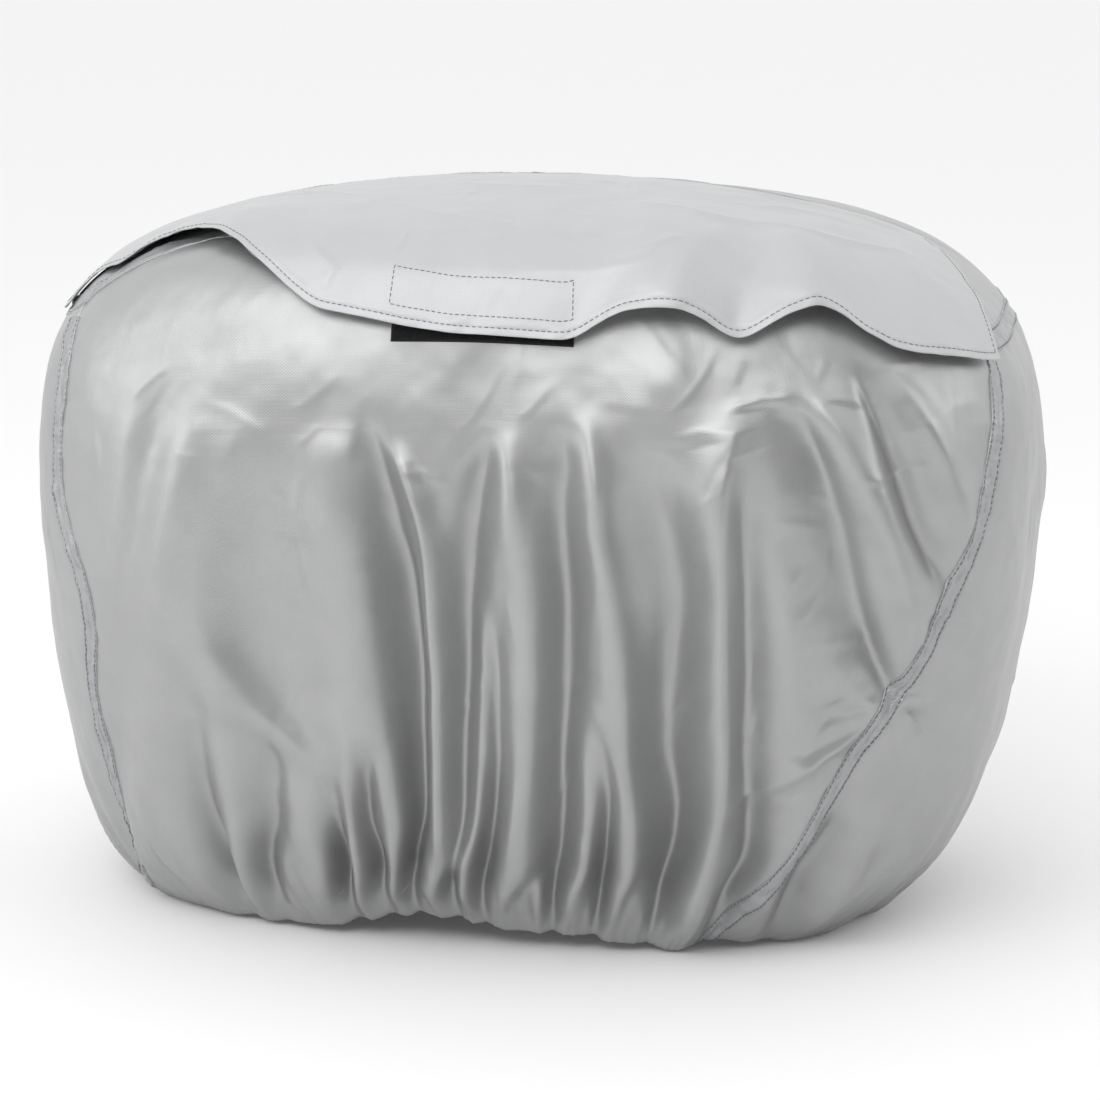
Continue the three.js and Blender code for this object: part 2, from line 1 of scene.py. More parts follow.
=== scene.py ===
# The looks of the fabric cover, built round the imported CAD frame. Millimetres inside, metres in the meshes.
import bpy
import json
import math
import numpy as np
from mathutils import Vector, Matrix
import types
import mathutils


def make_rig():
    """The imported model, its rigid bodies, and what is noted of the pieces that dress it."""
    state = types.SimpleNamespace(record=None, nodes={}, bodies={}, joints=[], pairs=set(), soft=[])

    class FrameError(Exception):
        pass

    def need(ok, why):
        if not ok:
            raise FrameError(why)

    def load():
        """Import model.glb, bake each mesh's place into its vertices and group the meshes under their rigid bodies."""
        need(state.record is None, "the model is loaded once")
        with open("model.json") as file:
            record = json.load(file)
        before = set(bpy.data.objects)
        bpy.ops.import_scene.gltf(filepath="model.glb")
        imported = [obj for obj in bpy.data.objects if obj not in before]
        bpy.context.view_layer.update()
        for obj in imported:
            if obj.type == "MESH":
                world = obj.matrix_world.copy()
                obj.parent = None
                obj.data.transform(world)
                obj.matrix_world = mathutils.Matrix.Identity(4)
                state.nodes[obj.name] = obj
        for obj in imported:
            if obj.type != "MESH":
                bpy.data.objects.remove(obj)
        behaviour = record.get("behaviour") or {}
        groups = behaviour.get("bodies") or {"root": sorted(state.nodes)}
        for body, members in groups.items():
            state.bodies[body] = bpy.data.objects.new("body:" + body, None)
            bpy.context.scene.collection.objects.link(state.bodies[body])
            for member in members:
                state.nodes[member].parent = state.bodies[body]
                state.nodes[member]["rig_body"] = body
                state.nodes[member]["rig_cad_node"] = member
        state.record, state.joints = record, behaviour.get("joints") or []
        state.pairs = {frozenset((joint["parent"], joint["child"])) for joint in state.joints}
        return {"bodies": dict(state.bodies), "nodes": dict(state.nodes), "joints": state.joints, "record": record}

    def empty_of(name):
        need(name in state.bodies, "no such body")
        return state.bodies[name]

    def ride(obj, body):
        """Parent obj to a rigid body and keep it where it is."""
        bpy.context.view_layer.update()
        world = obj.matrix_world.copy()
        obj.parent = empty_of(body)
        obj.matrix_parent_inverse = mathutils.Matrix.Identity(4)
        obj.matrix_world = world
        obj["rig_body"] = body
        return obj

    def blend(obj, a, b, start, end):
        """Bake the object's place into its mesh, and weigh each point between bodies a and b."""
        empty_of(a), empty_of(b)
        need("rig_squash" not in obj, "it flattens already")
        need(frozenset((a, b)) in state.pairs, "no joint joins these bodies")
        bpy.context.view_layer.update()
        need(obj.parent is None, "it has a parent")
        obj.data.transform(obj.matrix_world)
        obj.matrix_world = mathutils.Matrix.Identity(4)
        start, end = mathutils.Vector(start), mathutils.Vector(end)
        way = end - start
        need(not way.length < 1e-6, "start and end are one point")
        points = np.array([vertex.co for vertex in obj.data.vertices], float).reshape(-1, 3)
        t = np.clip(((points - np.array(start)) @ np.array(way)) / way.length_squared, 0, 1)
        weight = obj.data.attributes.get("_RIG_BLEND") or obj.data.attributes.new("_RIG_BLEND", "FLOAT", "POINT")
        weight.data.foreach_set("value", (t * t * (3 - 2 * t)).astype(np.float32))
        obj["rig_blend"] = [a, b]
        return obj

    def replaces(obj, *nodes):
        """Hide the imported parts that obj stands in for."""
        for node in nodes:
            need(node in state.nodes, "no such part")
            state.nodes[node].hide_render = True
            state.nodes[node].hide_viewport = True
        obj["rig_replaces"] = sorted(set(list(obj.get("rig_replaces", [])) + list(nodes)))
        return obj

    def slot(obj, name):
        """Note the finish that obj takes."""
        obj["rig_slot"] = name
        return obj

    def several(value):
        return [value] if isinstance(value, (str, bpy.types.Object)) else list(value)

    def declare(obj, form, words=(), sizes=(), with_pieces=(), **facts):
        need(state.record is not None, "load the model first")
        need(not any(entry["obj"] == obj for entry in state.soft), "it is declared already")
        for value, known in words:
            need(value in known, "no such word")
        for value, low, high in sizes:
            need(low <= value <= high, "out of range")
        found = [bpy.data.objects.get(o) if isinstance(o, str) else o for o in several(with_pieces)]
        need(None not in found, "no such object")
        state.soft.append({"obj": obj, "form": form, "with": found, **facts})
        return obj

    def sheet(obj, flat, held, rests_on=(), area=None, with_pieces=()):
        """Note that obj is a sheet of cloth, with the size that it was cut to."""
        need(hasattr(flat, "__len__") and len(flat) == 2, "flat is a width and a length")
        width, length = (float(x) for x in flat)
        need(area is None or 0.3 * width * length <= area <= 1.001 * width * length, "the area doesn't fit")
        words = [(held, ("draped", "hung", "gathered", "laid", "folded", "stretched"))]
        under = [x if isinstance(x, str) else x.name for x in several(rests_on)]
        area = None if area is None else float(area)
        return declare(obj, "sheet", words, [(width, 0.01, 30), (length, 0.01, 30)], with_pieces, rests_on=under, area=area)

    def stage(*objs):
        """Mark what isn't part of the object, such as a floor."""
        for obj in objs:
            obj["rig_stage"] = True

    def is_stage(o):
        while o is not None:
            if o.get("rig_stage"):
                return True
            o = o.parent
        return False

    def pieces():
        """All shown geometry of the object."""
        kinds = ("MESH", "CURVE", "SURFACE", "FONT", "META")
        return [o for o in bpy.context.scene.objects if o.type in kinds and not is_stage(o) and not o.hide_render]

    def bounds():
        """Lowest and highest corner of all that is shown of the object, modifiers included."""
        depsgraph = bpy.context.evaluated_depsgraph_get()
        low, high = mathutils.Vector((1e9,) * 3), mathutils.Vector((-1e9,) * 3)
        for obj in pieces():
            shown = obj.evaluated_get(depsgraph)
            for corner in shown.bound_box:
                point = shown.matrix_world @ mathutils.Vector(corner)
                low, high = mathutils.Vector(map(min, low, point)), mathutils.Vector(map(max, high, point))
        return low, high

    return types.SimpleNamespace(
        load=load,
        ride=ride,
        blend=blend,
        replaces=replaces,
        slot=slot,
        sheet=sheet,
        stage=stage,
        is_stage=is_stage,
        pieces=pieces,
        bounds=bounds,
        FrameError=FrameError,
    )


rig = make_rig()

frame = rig.load()
cad_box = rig.bounds()
MM = 0.001
rng = np.random.default_rng(7)

# ------------------------------------------------------------------ camera
def camera():
    az, el = math.radians(11), math.radians(12)
    back = Vector((math.sin(az) * math.cos(el), -math.cos(az) * math.cos(el), math.sin(el)))
    cam = bpy.data.cameras.new("camera")
    ob = bpy.data.objects.new("camera", cam)
    bpy.context.scene.collection.objects.link(ob)
    ob.location = Vector((0, 0, 0.210)) + back * 2.2
    ob.rotation_mode = "QUATERNION"
    ob.rotation_quaternion = (-back).to_track_quat("-Z", "Y")
    cam.sensor_width = 36
    cam.lens = 120.0
    cam.shift_x, cam.shift_y = 0.0045, -0.0082
    cam.clip_start, cam.clip_end = 0.05, 50
    bpy.context.scene.camera = ob
camera()

# ------------------------------------------------------------------ the cover's outer surface
A, B = 292.0, 192.0
ROWS = np.array([
    (0, 0.820, 0.700, 0.720, 0.74), (14, 0.880, 0.755, 0.765, 0.79), (38, 0.930, 0.830, 0.830, 0.85),
    (75, 0.962, 0.900, 0.895, 0.91), (120, 0.978, 0.950, 0.945, 0.95), (175, 0.994, 0.982, 0.980, 0.98),
    (235, 1, 1, 0.998, 1), (290, 0.998, 1, 1, 1), (330, 0.985, 0.990, 0.990, 0.99),
    (360, 0.958, 0.962, 0.962, 0.965), (383, 0.915, 0.915, 0.915, 0.92), (399, 0.850, 0.850, 0.850, 0.86),
    (410, 0.760, 0.760, 0.760, 0.77), (417, 0.640, 0.640, 0.640, 0.65), (421, 0.480, 0.480, 0.480, 0.49),
    (424, 0.280, 0.280, 0.280, 0.285), (425, 0, 0, 0, 0)], float)
CROWN = 34.0
TOP_SEAM_V = 0.605
HINGE_Y = 45.0
FRONT_RIGHT = [(0, 301.5), (0.042, 302.5), (0.118, 304.2), (0.162, 306.2), (0.201, 307.5), (0.231, 309), (0.255, 310.8),
               (0.283, 313.2), (0.301, 315), (0.345, 318.8), (0.381, 321.5), (0.419, 325), (0.449, 327), (0.502, 330.2),
               (0.552, 333), (0.61, 335.5), (1, 336)]
FRONT_LEFT = [(0, 208), (0.03, 209), (0.092, 214), (0.13, 216.5), (0.183, 218.2), (0.221, 219.3), (0.263, 219.8),
              (0.289, 221.8), (0.311, 223.6), (0.327, 224.6), (0.345, 224), (0.365, 222.6), (0.389, 219.8), (0.413, 218.9),
              (0.447, 219.6), (0.495, 219.5), (0.538, 218.6), (0.61, 216), (1, 216)]
BACK_RIGHT = [(0, 57), (0.12, 54), (0.22, 49), (0.3, 44), (0.36, 39.5), (0.42, 34), (0.5, 29), (0.61, 24.5), (1, 24)]
BACK_LEFT = [(0, 129), (0.12, 131), (0.22, 134), (0.3, 138), (0.36, 140.5), (0.42, 143), (0.5, 146.5), (0.61, 150), (1, 150)]


def ease(x, a, b):
    x = np.clip((np.asarray(x, float) - a) / (b - a), 0, 1)
    return x * x * (3 - 2 * x)


def row_at(v):
    n = len(ROWS) - 1
    x = np.clip(v, 0, 1) * n
    i = np.minimum(x.astype(int), n - 1)
    f = (x - i)[..., None]
    P = np.vstack([2 * ROWS[0] - ROWS[1], ROWS, 2 * ROWS[-1] - ROWS[-2]])
    p0, p1, p2, p3 = P[i], P[i + 1], P[i + 2], P[i + 3]
    return 0.5 * ((2 * p1) + (-p0 + p2) * f + (2 * p0 - 5 * p1 + 4 * p2 - p3) * f ** 2 + (-p0 + 3 * p1 - 3 * p2 + p3) * f ** 3)


def skin(a, v):
    """Point of the smooth surface: a is the plan angle (270 degrees = front), v runs 0 at the hem to 1 at the crown."""
    a, v = np.broadcast_arrays(np.asarray(a, float), np.asarray(v, float))
    P = row_at(v)
    z = P[..., 0]
    c, s = np.cos(a), np.sin(a)
    wl, wf = 0.5 - 0.5 * np.tanh(c / 0.35), 0.5 - 0.5 * np.tanh(s / 0.35)
    sx = np.maximum(P[..., 1] * wl + P[..., 2] * (1 - wl), 1e-6)
    sy = np.maximum(P[..., 3] * wf + P[..., 4] * (1 - wf), 1e-6)
    n = 2.45 + 0.95 * np.clip(z / 230, 0, 1)
    r = (np.abs(c / sx) ** n + np.abs(s / sy) ** n) ** (-1 / n)
    x, y = A * c * r, B * s * r
    return np.stack([x, y, z - (CROWN - 6 * wl) * (x / A) ** 2 * ease(z, 200, 415)], -1)


def unit(v):
    return v / np.maximum(np.linalg.norm(v, axis=-1, keepdims=True), 1e-9)


def skin_normal(a, v):
    h = 2e-3
    v1, v0 = np.minimum(v + h, 0.9995), np.maximum(v - h, 0)
    return unit(np.cross(skin(a + h, v) - skin(a - h, v), skin(a, v1) - skin(a, v0)))


def table(T, v):
    T = np.array(T, float)
    return np.radians(sum(np.interp(v + k * 0.006, T[:, 0], T[:, 1]) for k in range(-4, 5)) / 9)


_vv = np.linspace(0, 0.999, 2000)
_hh = row_at(_vv)[:, 0]
def v_at(h):
    return np.interp(h, _hh, _vv)


def h_at(v):
    return np.interp(v, _vv, _hh)


# plan arc length, at the fullest height, from the front's middle
_aa = np.radians(np.linspace(90, 450, 3601))
_ref = skin(_aa, np.full_like(_aa, 0.45))
_ss = np.concatenate([[0], np.cumsum(np.linalg.norm(np.diff(_ref, axis=0), axis=1))])
_ss -= np.interp(np.radians(270), _aa, _ss)
HALF_GIRTH = _ss[-1]
def s_at(a):
    """0 in the front's middle, positive to the right, up to half the girth at the back's middle."""
    w = np.mod(np.asarray(a, float) - np.radians(90), 2 * np.pi) + np.radians(90)
    return np.interp(w, _aa, _ss)


# heights of the skin in plan, for the top
def top_z(x, y):
    x, y = np.broadcast_arrays(np.asarray(x, float), np.asarray(y, float))
    lo, hi = np.full(x.shape, 0.45), np.ones(x.shape)
    for _ in range(34):
        m = (lo + hi) / 2
        P = row_at(m)
        sx = np.maximum(P[..., 1], 1e-6)
        sy = np.maximum(np.where(y < 0, P[..., 3], P[..., 4]), 1e-6)
        f = np.abs(x / A / sx) ** 3.4 + np.abs(y / B / sy) ** 3.4 - 1
        lo, hi = np.where(f < 0, m, lo), np.where(f < 0, hi, m)
    z = row_at((lo + hi) / 2)[..., 0]
    wl = 0.5 - 0.5 * np.tanh((x / A) / 0.35)
    return z - (CROWN - 6 * wl) * (x / A) ** 2 * ease(z, 200, 415)


def top_normal(x, y):
    h = 2.0
    return unit(np.stack([(top_z(x - h, y) - top_z(x + h, y)) / (2 * h), (top_z(x, y - h) - top_z(x, y + h)) / (2 * h),
                          np.ones(np.broadcast(x, y).shape)], -1))


def front_angle(x, v):
    """Plan angle on the front half at which the surface is at x."""
    x, v = np.broadcast_arrays(np.asarray(x, float), np.asarray(v, float))
    lo, hi = np.full(x.shape, np.pi), np.full(x.shape, 2 * np.pi)
    for _ in range(36):
        m = (lo + hi) / 2
        f = skin(m, v)[..., 0] < x
        lo, hi = np.where(f, m, lo), np.where(f, hi, m)
    return (lo + hi) / 2

# ------------------------------------------------------------------ folds
# Fold lines in (s, height) with how far they stand out, and their half widths to the left and right, all in mm.
FOLDS = [
    [(-133,326,0.5,37.1,17.6),(-140,304,3,37.1,15.6),(-154,267,5,37.7,15.0),(-162,231,6.5,39.6,13.6),(-165,195,7,37.4,12.9),(-159,176,6.5,30.6,12.9),(-140,148,5,23.6,12.1),(-113,122,3,16.2,10.4),(-94,99,0,13.8,9.5)],
    [(-163,191,0,16.4,11.4),(-158,149,4,15.7,12.2),(-160,113,5.5,15.0,11.4),(-164,74,7,12.8,9.3),(-178,40,8,10.6,7.8),(-187,19,8,9.8,7.8),(-199,6,7,11.0,8.4)],
    [(-174,160,0,9.9,7.9),(-187,109,-4,12.6,9.2),(-194,71,-8,11.8,8.4),(-195,37,-11,11.8,7.0),(-204,17,-11,10.9,7.6),(-220,1,-10,10.5,8.0)],
    [(-188,152,0,18.8,10.6),(-197,108,3,20.5,9.1),(-210,69,5,21.2,11.0),(-216,37,6,22.8,11.5),(-225,14,5,22.2,10.6)],
    [(-132,130,0,8.5,7.8),(-132,115,-4,9.2,7.8),(-141,76,-6,10.7,8.5),(-166,42,-8,8.6,8.6),(-174,20,-8,8.5,7.9),(-186,6,-7,9.1,7.8)],
    [(-123,280,0,23.4,26.4),(-128,245,-4,23.5,29.3),(-126,210,-6,27.8,29.9),(-119,164,-5,25.5,27.7),(-109,129,-3,18.9,19.3),(-98,99,0,13.2,13.6)],
    [(-71,318,0,25.7,11.9),(-71,299,3.5,25.7,10.0),(-71,260,7,26.4,11.3),(-67,213,9,26.3,11.9),(-63,167,8,26.8,11.8),(-55,121,8,17.2,8.5),(-53,83,9,9.2,6.5),(-62,50,9,8.6,5.9),(-69,30,8,6.7,5.3),(-75,18,7,6.1,5.3)],
    [(-83,161,0,15.0,6.7),(-80,119,5,12.9,6.0),(-87,81,7,9.6,6.1),(-89,48,8,7.5,6.1),(-96,28,8,6.2,5.5),(-104,14,7,6.2,5.5)],
    [(-65,134,0,6.0,5.9),(-70,113,-4,6.0,6.6),(-77,82,-7,6.1,6.0),(-76,49,-10,6.1,6.0),(-82,29,-10,6.8,5.4),(-89,15,-9,5.5,5.4)],
    [(-111,110,0,17.6,7.6),(-114,80,5,18.3,8.4),(-116,46,8,19.1,7.7),(-122,26,8,19.1,6.3),(-133,12,7,17.1,7.8)],
    [(-92,115,0,6.2,5.5),(-94,81,-7,6.9,5.5),(-102,47,-11,6.2,5.5),(-109,27,-11,7.0,4.9),(-118,13,-10,6.3,5.6)],
    [(-61,315,0,6.0,4.6),(-59,305,-4,7.9,4.6),(-53,283,-8,13.9,6.5),(-46,254,-12,17.1,7.8),(-40,226,-14,19.6,6.5),(-38,199,-14,18.2,5.8),(-36,169,-15,17.6,5.8),(-38,121,-15,14.3,6.4),(-41,84,-14,11.7,5.8),(-53,51,-13,7.2,5.2),(-59,30,-12,6.0,5.3),(-65,17,-10,5.3,5.3)],
    [(-46,305,0,3.9,5.8),(-41,288,4,4.5,5.2),(-33,269,6,4.5,6.4),(-28,246,7,4.5,7.0),(-27,215,8.5,4.5,7.7),(-26,169,9,5.1,8.3),(-27,122,10,5.8,8.3),(-29,85,10,6.4,9.0),(-27,58,9,10.9,9.0),(-40,32,8,9.1,6.5),(-46,18,7,7.8,6.5)],
    [(6,306,0,5.7,4.5),(5,299,-4,6.4,5.7),(0,279,-8,10.2,7.6),(-4,251,-10,11.5,8.3),(-6,216,-10,10.2,8.3),(-8,170,-9,8.3,8.3),(-13,122,-8,7.0,7.6),(-15,85,-7,7.0,7.0),(-26,46,-8,6.4,5.8),(-32,29,-8,5.8,5.1)],
    [(-3,240,0,4.5,4.5),(1,170,3.5,5.1,4.5),(0,123,4.5,5.1,5.1),(-5,86,5,5.1,5.1),(-17,53,6,5.8,5.7),(-20,30,6,5.1,4.5)],
    [(9,216,0,4.5,5.1),(10,172,-4,4.5,4.5),(10,123,-5,5.1,5.7),(5,86,-8,5.7,6.4),(-2,54,-10,5.7,5.7),(-8,34,-9,5.1,4.5),(-10,21,-8,5.1,5.1)],
    [(16,315,0,8.3,7.7),(17,300,3.5,7.7,7.7),(23,263,7,10.2,9.0),(29,218,8,12.2,8.4),(30,172,8.5,12.8,7.7),(28,125,9,11.5,8.4),(23,87,10,10.2,10.3),(22,55,10,11.5,9.6),(9,33,6,8.3,7.0),(4,22,5,7.6,6.4)],
    [(34,49,0,5.1,5.2),(34,32,6,5.8,4.5),(34,22,6,5.1,5.2)],
    [(47,314,0,5.2,5.9),(47,306,-4,7.8,6.5),(46,264,-7.5,9.1,9.1),(49,218,-9,8.5,10.5),(48,173,-9,7.8,10.5),(46,126,-10,8.4,8.5),(47,89,-11,10.4,8.5),(45,57,-12,9.7,7.8),(42,36,-10,6.5,5.2),(42,22,-9,5.8,5.9)],
    [(59,328,0,7.9,7.3),(62,309,3,7.2,6.6),(67,287,6,9.3,5.3),(69,254,7,9.9,5.3),(75,220,7,12.0,6.7),(82,175,8,14.7,6.8),(85,127,8,10.8,6.8),(92,91,9,10.2,7.6),(94,59,9,9.5,8.3),(87,39,7,6.1,5.5),(87,26,6,5.4,6.1)],
    [(59,145,0,5.9,5.9),(65,102,4,7.3,6.0),(63,57,6,7.9,6.6),(55,37,7,5.9,6.6),(55,23,6,5.9,5.9)],
    [(71,145,0,4.7,4.7),(77,103,-5,5.4,4.0),(76,58,-9,5.4,4.7),(76,38,-10,5.4,4.7),(76,24,-9,4.7,5.4)],
    [(95,311,0,13.6,13.8),(96,288,-5,13.6,15.2),(102,261,-10,16.4,17.4),(111,221,-13,18.6,19.0),(108,175,-15,14.5,20.4),(109,127,-16,13.8,20.4),(120,91,-17,15.4,14.9),(123,59,-18,13.3,11.3),(119,39,-15,8.4,8.5),(121,21,-13,7.7,7.8)],
    [(144,337,0,11.4,6.4),(140,314,3.5,11.4,6.4),(134,286,6,13.4,5.0),(133,245,8,14.1,5.0),(136,199,9,14.2,5.0),(138,164,9,14.9,5.7),(143,129,10,14.9,5.7),(144,92,10,12.8,7.9),(142,59,10,10.7,10.0),(142,28,10,10.0,11.4),(147,13,9,10.0,9.3)],
    [(152,309,0,5.7,9.3),(146,269,-5,4.3,10.7),(149,223,-6,4.3,12.2),(153,176,-6,5.0,12.2),(156,129,-6,5.7,12.2),(166,92,-8,6.4,11.4),(173,59,-9,8.6,10.0),(166,37,-8,7.9,9.3),(171,20,-7,7.9,7.9)],
    [(162,257,0,10.7,10.7),(170,210,4,12.9,12.1),(177,170,4,13.6,14.2),(190,127,3,14.9,14.7),(202,91,7,16.1,13.7),(196,58,7,13.4,10.4),(199,34,6,11.2,9.7),(202,19,6,10.5,11.0)],
    [(221,102,0,8.1,7.9),(222,83,-5,8.1,9.2),(216,50,-8,9.5,10.0),(222,25,-9,10.8,11.8),(230,13,-8,9.9,10.2)],
    [(229,102,0,9.3,10.3),(246,81,5,10.7,9.1),(249,47,7,15.1,12.6),(251,22,7,16.2,13.0),(261,9,6,16.3,15.9)],
    [(173,341,0,12.2,5.0),(177,330,-4,12.9,5.0),(186,309,-7,15.7,4.9),(197,270,-9,16.2,6.9),(209,221,-9,17.4,6.8),(223,192,-8,14.2,5.9),(237,166,-7,9.0,6.3),(242,158,0,7.6,6.2)],
    [(185,349,0,6.4,9.2),(195,330,3,7.0,9.7),(207,304,5,7.6,10.2),(221,267,7,8.1,11.8),(236,226,7,8.4,10.7),(246,195,5,8.2,10.3),(247,166,0,6.9,7.9)],
    [(215,366,0,6.1,7.4),(217,349,-4,5.4,7.3),(223,326,-6,6.0,7.9),(230,302,-7,6.6,8.4),(240,266,-7,6.4,8.7),(255,237,-4,6.1,8.3),(262,224,0,6.5,7.5)],
    [(235,365,0,6.5,10.1),(243,345,3.5,7.0,11.6),(254,318,5.5,7.3,12.4),(266,282,5,8.2,10.7),(271,251,3,8.6,8.9),(269,223,0,7.5,7.9)],
    [(-202,362,0,15.0,16.1),(-204,314,1.8,14.9,14.6),(-210,252,2.2,15.4,14.5),(-226,200,1.5,16.6,16.0),(-243,151,0,21.5,17.9)],
    [(-185,339,0,9.8,9.2),(-190,303,-1.8,9.1,9.2),(-197,252,-2.2,9.7,9.1),(-208,203,-1.2,10.8,9.7),(-216,167,0,11.9,10.2)],
    [(-156,355,0,12.9,10.0),(-165,303,2.5,11.4,10.0),(-175,254,3,11.3,11.4),(-190,205,2.5,13.9,13.4),(-203,145,1.5,17.6,16.1),(-222,92,0,20.6,18.9)],
    [(-217,178,0,17.7,12.2),(-249,113,-2,20.0,15.6),(-287,48,-2.5,39.8,18.7),(-321,9,-3,5.3,4.9),(-320,0,-3,3.5,10.8)],
    [(-211,143,0,12.7,12.4),(-240,90,2.5,16.5,14.8),(-262,41,3.5,18.5,15.5),(-314,0,4,3.5,38.6)],
]
CREASES = [
    ([(-218,309),(-173,307),(-130,308),(-83,309),(-44,309),(-4,311),(35,312),(68,315)],-0.2,1.8),
    ([(-218,311),(-173,309),(-130,310),(-83,311),(-44,311),(-4,313),(35,314),(68,318)],0.16,2.2),
    ([(131,329),(150,336),(174,342),(181,341)],1.8,3.5),
    ([(134,325),(151,332),(172,336)],-1.5,3.0),
    ([(188,340),(202,339),(219,337)],-2.0,3.2),
    ([(185,343),(203,343),(218,341)],1.3,3.2),
    ([(102,311),(122,318),(144,320),(167,324)],1.2,3.0),
    ([(95,307),(116,308),(141,315)],-1.0,2.5),
    ([(198,296),(223,298),(251,307)],1.8,4.0),
    ([(197,291),(220,293),(247,302)],-1.2,3.0),
    ([(221,320),(242,329),(271,344),(306,350)],1.2,4.0),
    ([(-128,282),(-107,269),(-83,249),(-75,237)],1.4,4.0),
    ([(-123,282),(-102,272),(-79,252)],-0.9,3.0),
    ([(-55,273),(-45,260),(-34,238)],1.4,3.5),
    ([(-49,291),(-29,287),(-12,280)],1.8,4.0),
    ([(-48,287),(-29,283),(-15,277)],-1.2,2.5),
    ([(-69,232),(-56,229),(-46,228)],1.0,3.0),
    ([(-3,189),(3,173),(8,157)],-1.4,2.5),
    ([(-1,191),(6,175),(11,160)],1.0,2.5),
    ([(-5,158),(4,123),(6,99)],-0.9,2.5),
    ([(-4,232),(12,237),(24,242)],0.8,2.5),
    ([(37,246),(46,248),(52,252)],0.8,2.5),
    ([(155,269),(176,267),(193,263)],0.9,3.0),
    ([(-212,294),(-178,293),(-130,293)],0.4,3.0),
    ([(89,294),(100,277),(105,255)],-0.9,3.5),
    ([(122,276),(131,297),(141,314)],-1.3,3.5),
    ([(149,199),(154,183),(155,164),(166,129)],-1.2,3.0),
    ([(236,158),(221,161),(205,164),(194,157)],2.6,5.0),
    ([(236,157),(220,155),(202,152),(192,142)],-3.0,5.5),
    ([(236,154),(219,139),(198,126),(172,109),(143,90)],2.6,7.0),
    ([(234,152),(215,142),(189,133),(171,133)],-1.6,4.5),
    ([(240,158),(250,154),(264,145),(272,139)],-2.6,5.0),
    ([(240,161),(255,160),(271,155)],2.4,5.0),
    ([(236,154),(231,134),(227,108),(228,82)],-1.6,5.0),
    ([(240,154),(248,133),(252,112)],2.0,5.5),
    ([(234,161),(225,175),(209,189)],1.6,4.5),
    ([(232,160),(219,170),(209,175)],-1.6,4.0),
    ([(165,133),(183,130),(198,125),(209,117)],1.3,4.0),
    ([(143,90),(172,93),(196,102),(214,118)],-1.6,7.0),
    ([(222,228),(238,220),(254,212),(275,205),(300,197)],2.4,4.0),
    ([(229,218),(245,212),(263,205),(292,194)],-2.0,4.0),
    ([(-130,91),(-116,78),(-102,65)],-1.0,3.0),
    ([(-115,110),(-99,93),(-87,86)],1.0,3.0),
    ([(34,72),(47,70),(67,58)],-1.2,3.5),
    ([(47,77),(63,73),(77,64)],1.2,3.5),
    ([(-245,80),(-233,71),(-239,55)],-0.8,3.0),
    ([(-27,29),(-15,40),(6,46)],-0.9,3.0),
    ([(105,35),(108,52),(98,72)],-1.0,3.0),
    ([(308,7),(343,12),(350,24),(342,42)],-5.0,8.0),
    ([(256,29),(273,40),(284,55),(287,69)],3.0,9.0),
]



def polyline(S, H, P):
    """Distance, signed side, and share along, from each (S, H) to a polyline."""
    P = np.array(P, float)
    best = np.full(S.shape, 1e9)
    side = np.zeros(S.shape)
    along = np.zeros(S.shape)
    L = np.concatenate([[0], np.cumsum(np.linalg.norm(np.diff(P, axis=0), axis=1))])
    for i in range(len(P) - 1):
        d = P[i + 1] - P[i]
        q = max(float(d @ d), 1e-9)
        t = np.clip(((S - P[i, 0]) * d[0] + (H - P[i, 1]) * d[1]) / q, 0, 1)
        dx, dy = S - P[i, 0] - t * d[0], H - P[i, 1] - t * d[1]
        r = np.hypot(dx, dy)
        k = r < best
        best = np.where(k, r, best)
        side = np.where(k, np.sign(d[0] * dy - d[1] * dx), side)
        along = np.where(k, (L[i] + t * math.sqrt(q)) / max(L[-1], 1e-9), along)
    return best, side, along


def smooth_interp(h, hs, ys):
    """Smooth curve through a fold's stations, by height."""
    return sum(np.interp(h + k, hs, ys) for k in (-9, -6, -3, 0, 3, 6, 9)) / 7


def long_folds(S, H, scale=1.0, mirror=False):
    D = np.zeros(S.shape)
    if mirror:
        S = -S
    for T in FOLDS:
        T = sorted(T, key=lambda q: q[1])
        hs = np.array([q[1] for q in T], float)
        get = lambda j: smooth_interp(H, hs, np.array([q[j] for q in T], float))
        s0, amp, wl, wr = get(0), get(2), get(3), get(4)
        top_end, low_end = hs[-1], hs[0]
        amp = amp * ease(H, low_end - 6, low_end + 4) if low_end > 40 else amp
        soft = max(T[-1][3], T[-1][4])
        amp = amp * (1 - ease(H, top_end - 4 - 0.9 * soft, top_end + 12 + 0.9 * soft))
        x = (S - s0)
        x = np.where(x < 0, x / wl, x / wr)
        D += amp * np.exp(-np.abs(x / 1.22) ** 1.9 * 1.05)
    return D * scale


def creases(S, H, lines, scale=1.0):
    D = np.zeros(S.shape)
    for P, amp, w in lines:
        P = np.array(P, float)
        m = 6 * w + 4
        box = (S > P[:, 0].min() - m) & (S < P[:, 0].max() + m) & (H > P[:, 1].min() - m) & (H < P[:, 1].max() + m)
        if not box.any():
            continue
        r, side, t = polyline(S[box], H[box], P)
        # crisp along the line, steeper on one side than on the other
        r = r / np.where(side > 0, 0.75 * w, 1.9 * w)
        D[box] += amp * scale * np.exp(-r ** 1.15) * ease(t, 0, 0.3) * (1 - ease(t, 0.7, 1))
    return D


# the pinch where the front seam turns, half way up on the right
PINCH = [([(238, 160), (213, 163), (190, 154)], -2.4, 4.6), ([(237, 158), (216, 137), (193, 126), (145, 92)], 1.9, 4.0),
         ([(246, 156), (260, 148), (273, 135)], -2.0, 4.2), ([(233, 147), (214, 123), (178, 102)], -1.6, 6.0),
         ([(240, 166), (226, 186), (214, 214)], -1.4, 4.5)]


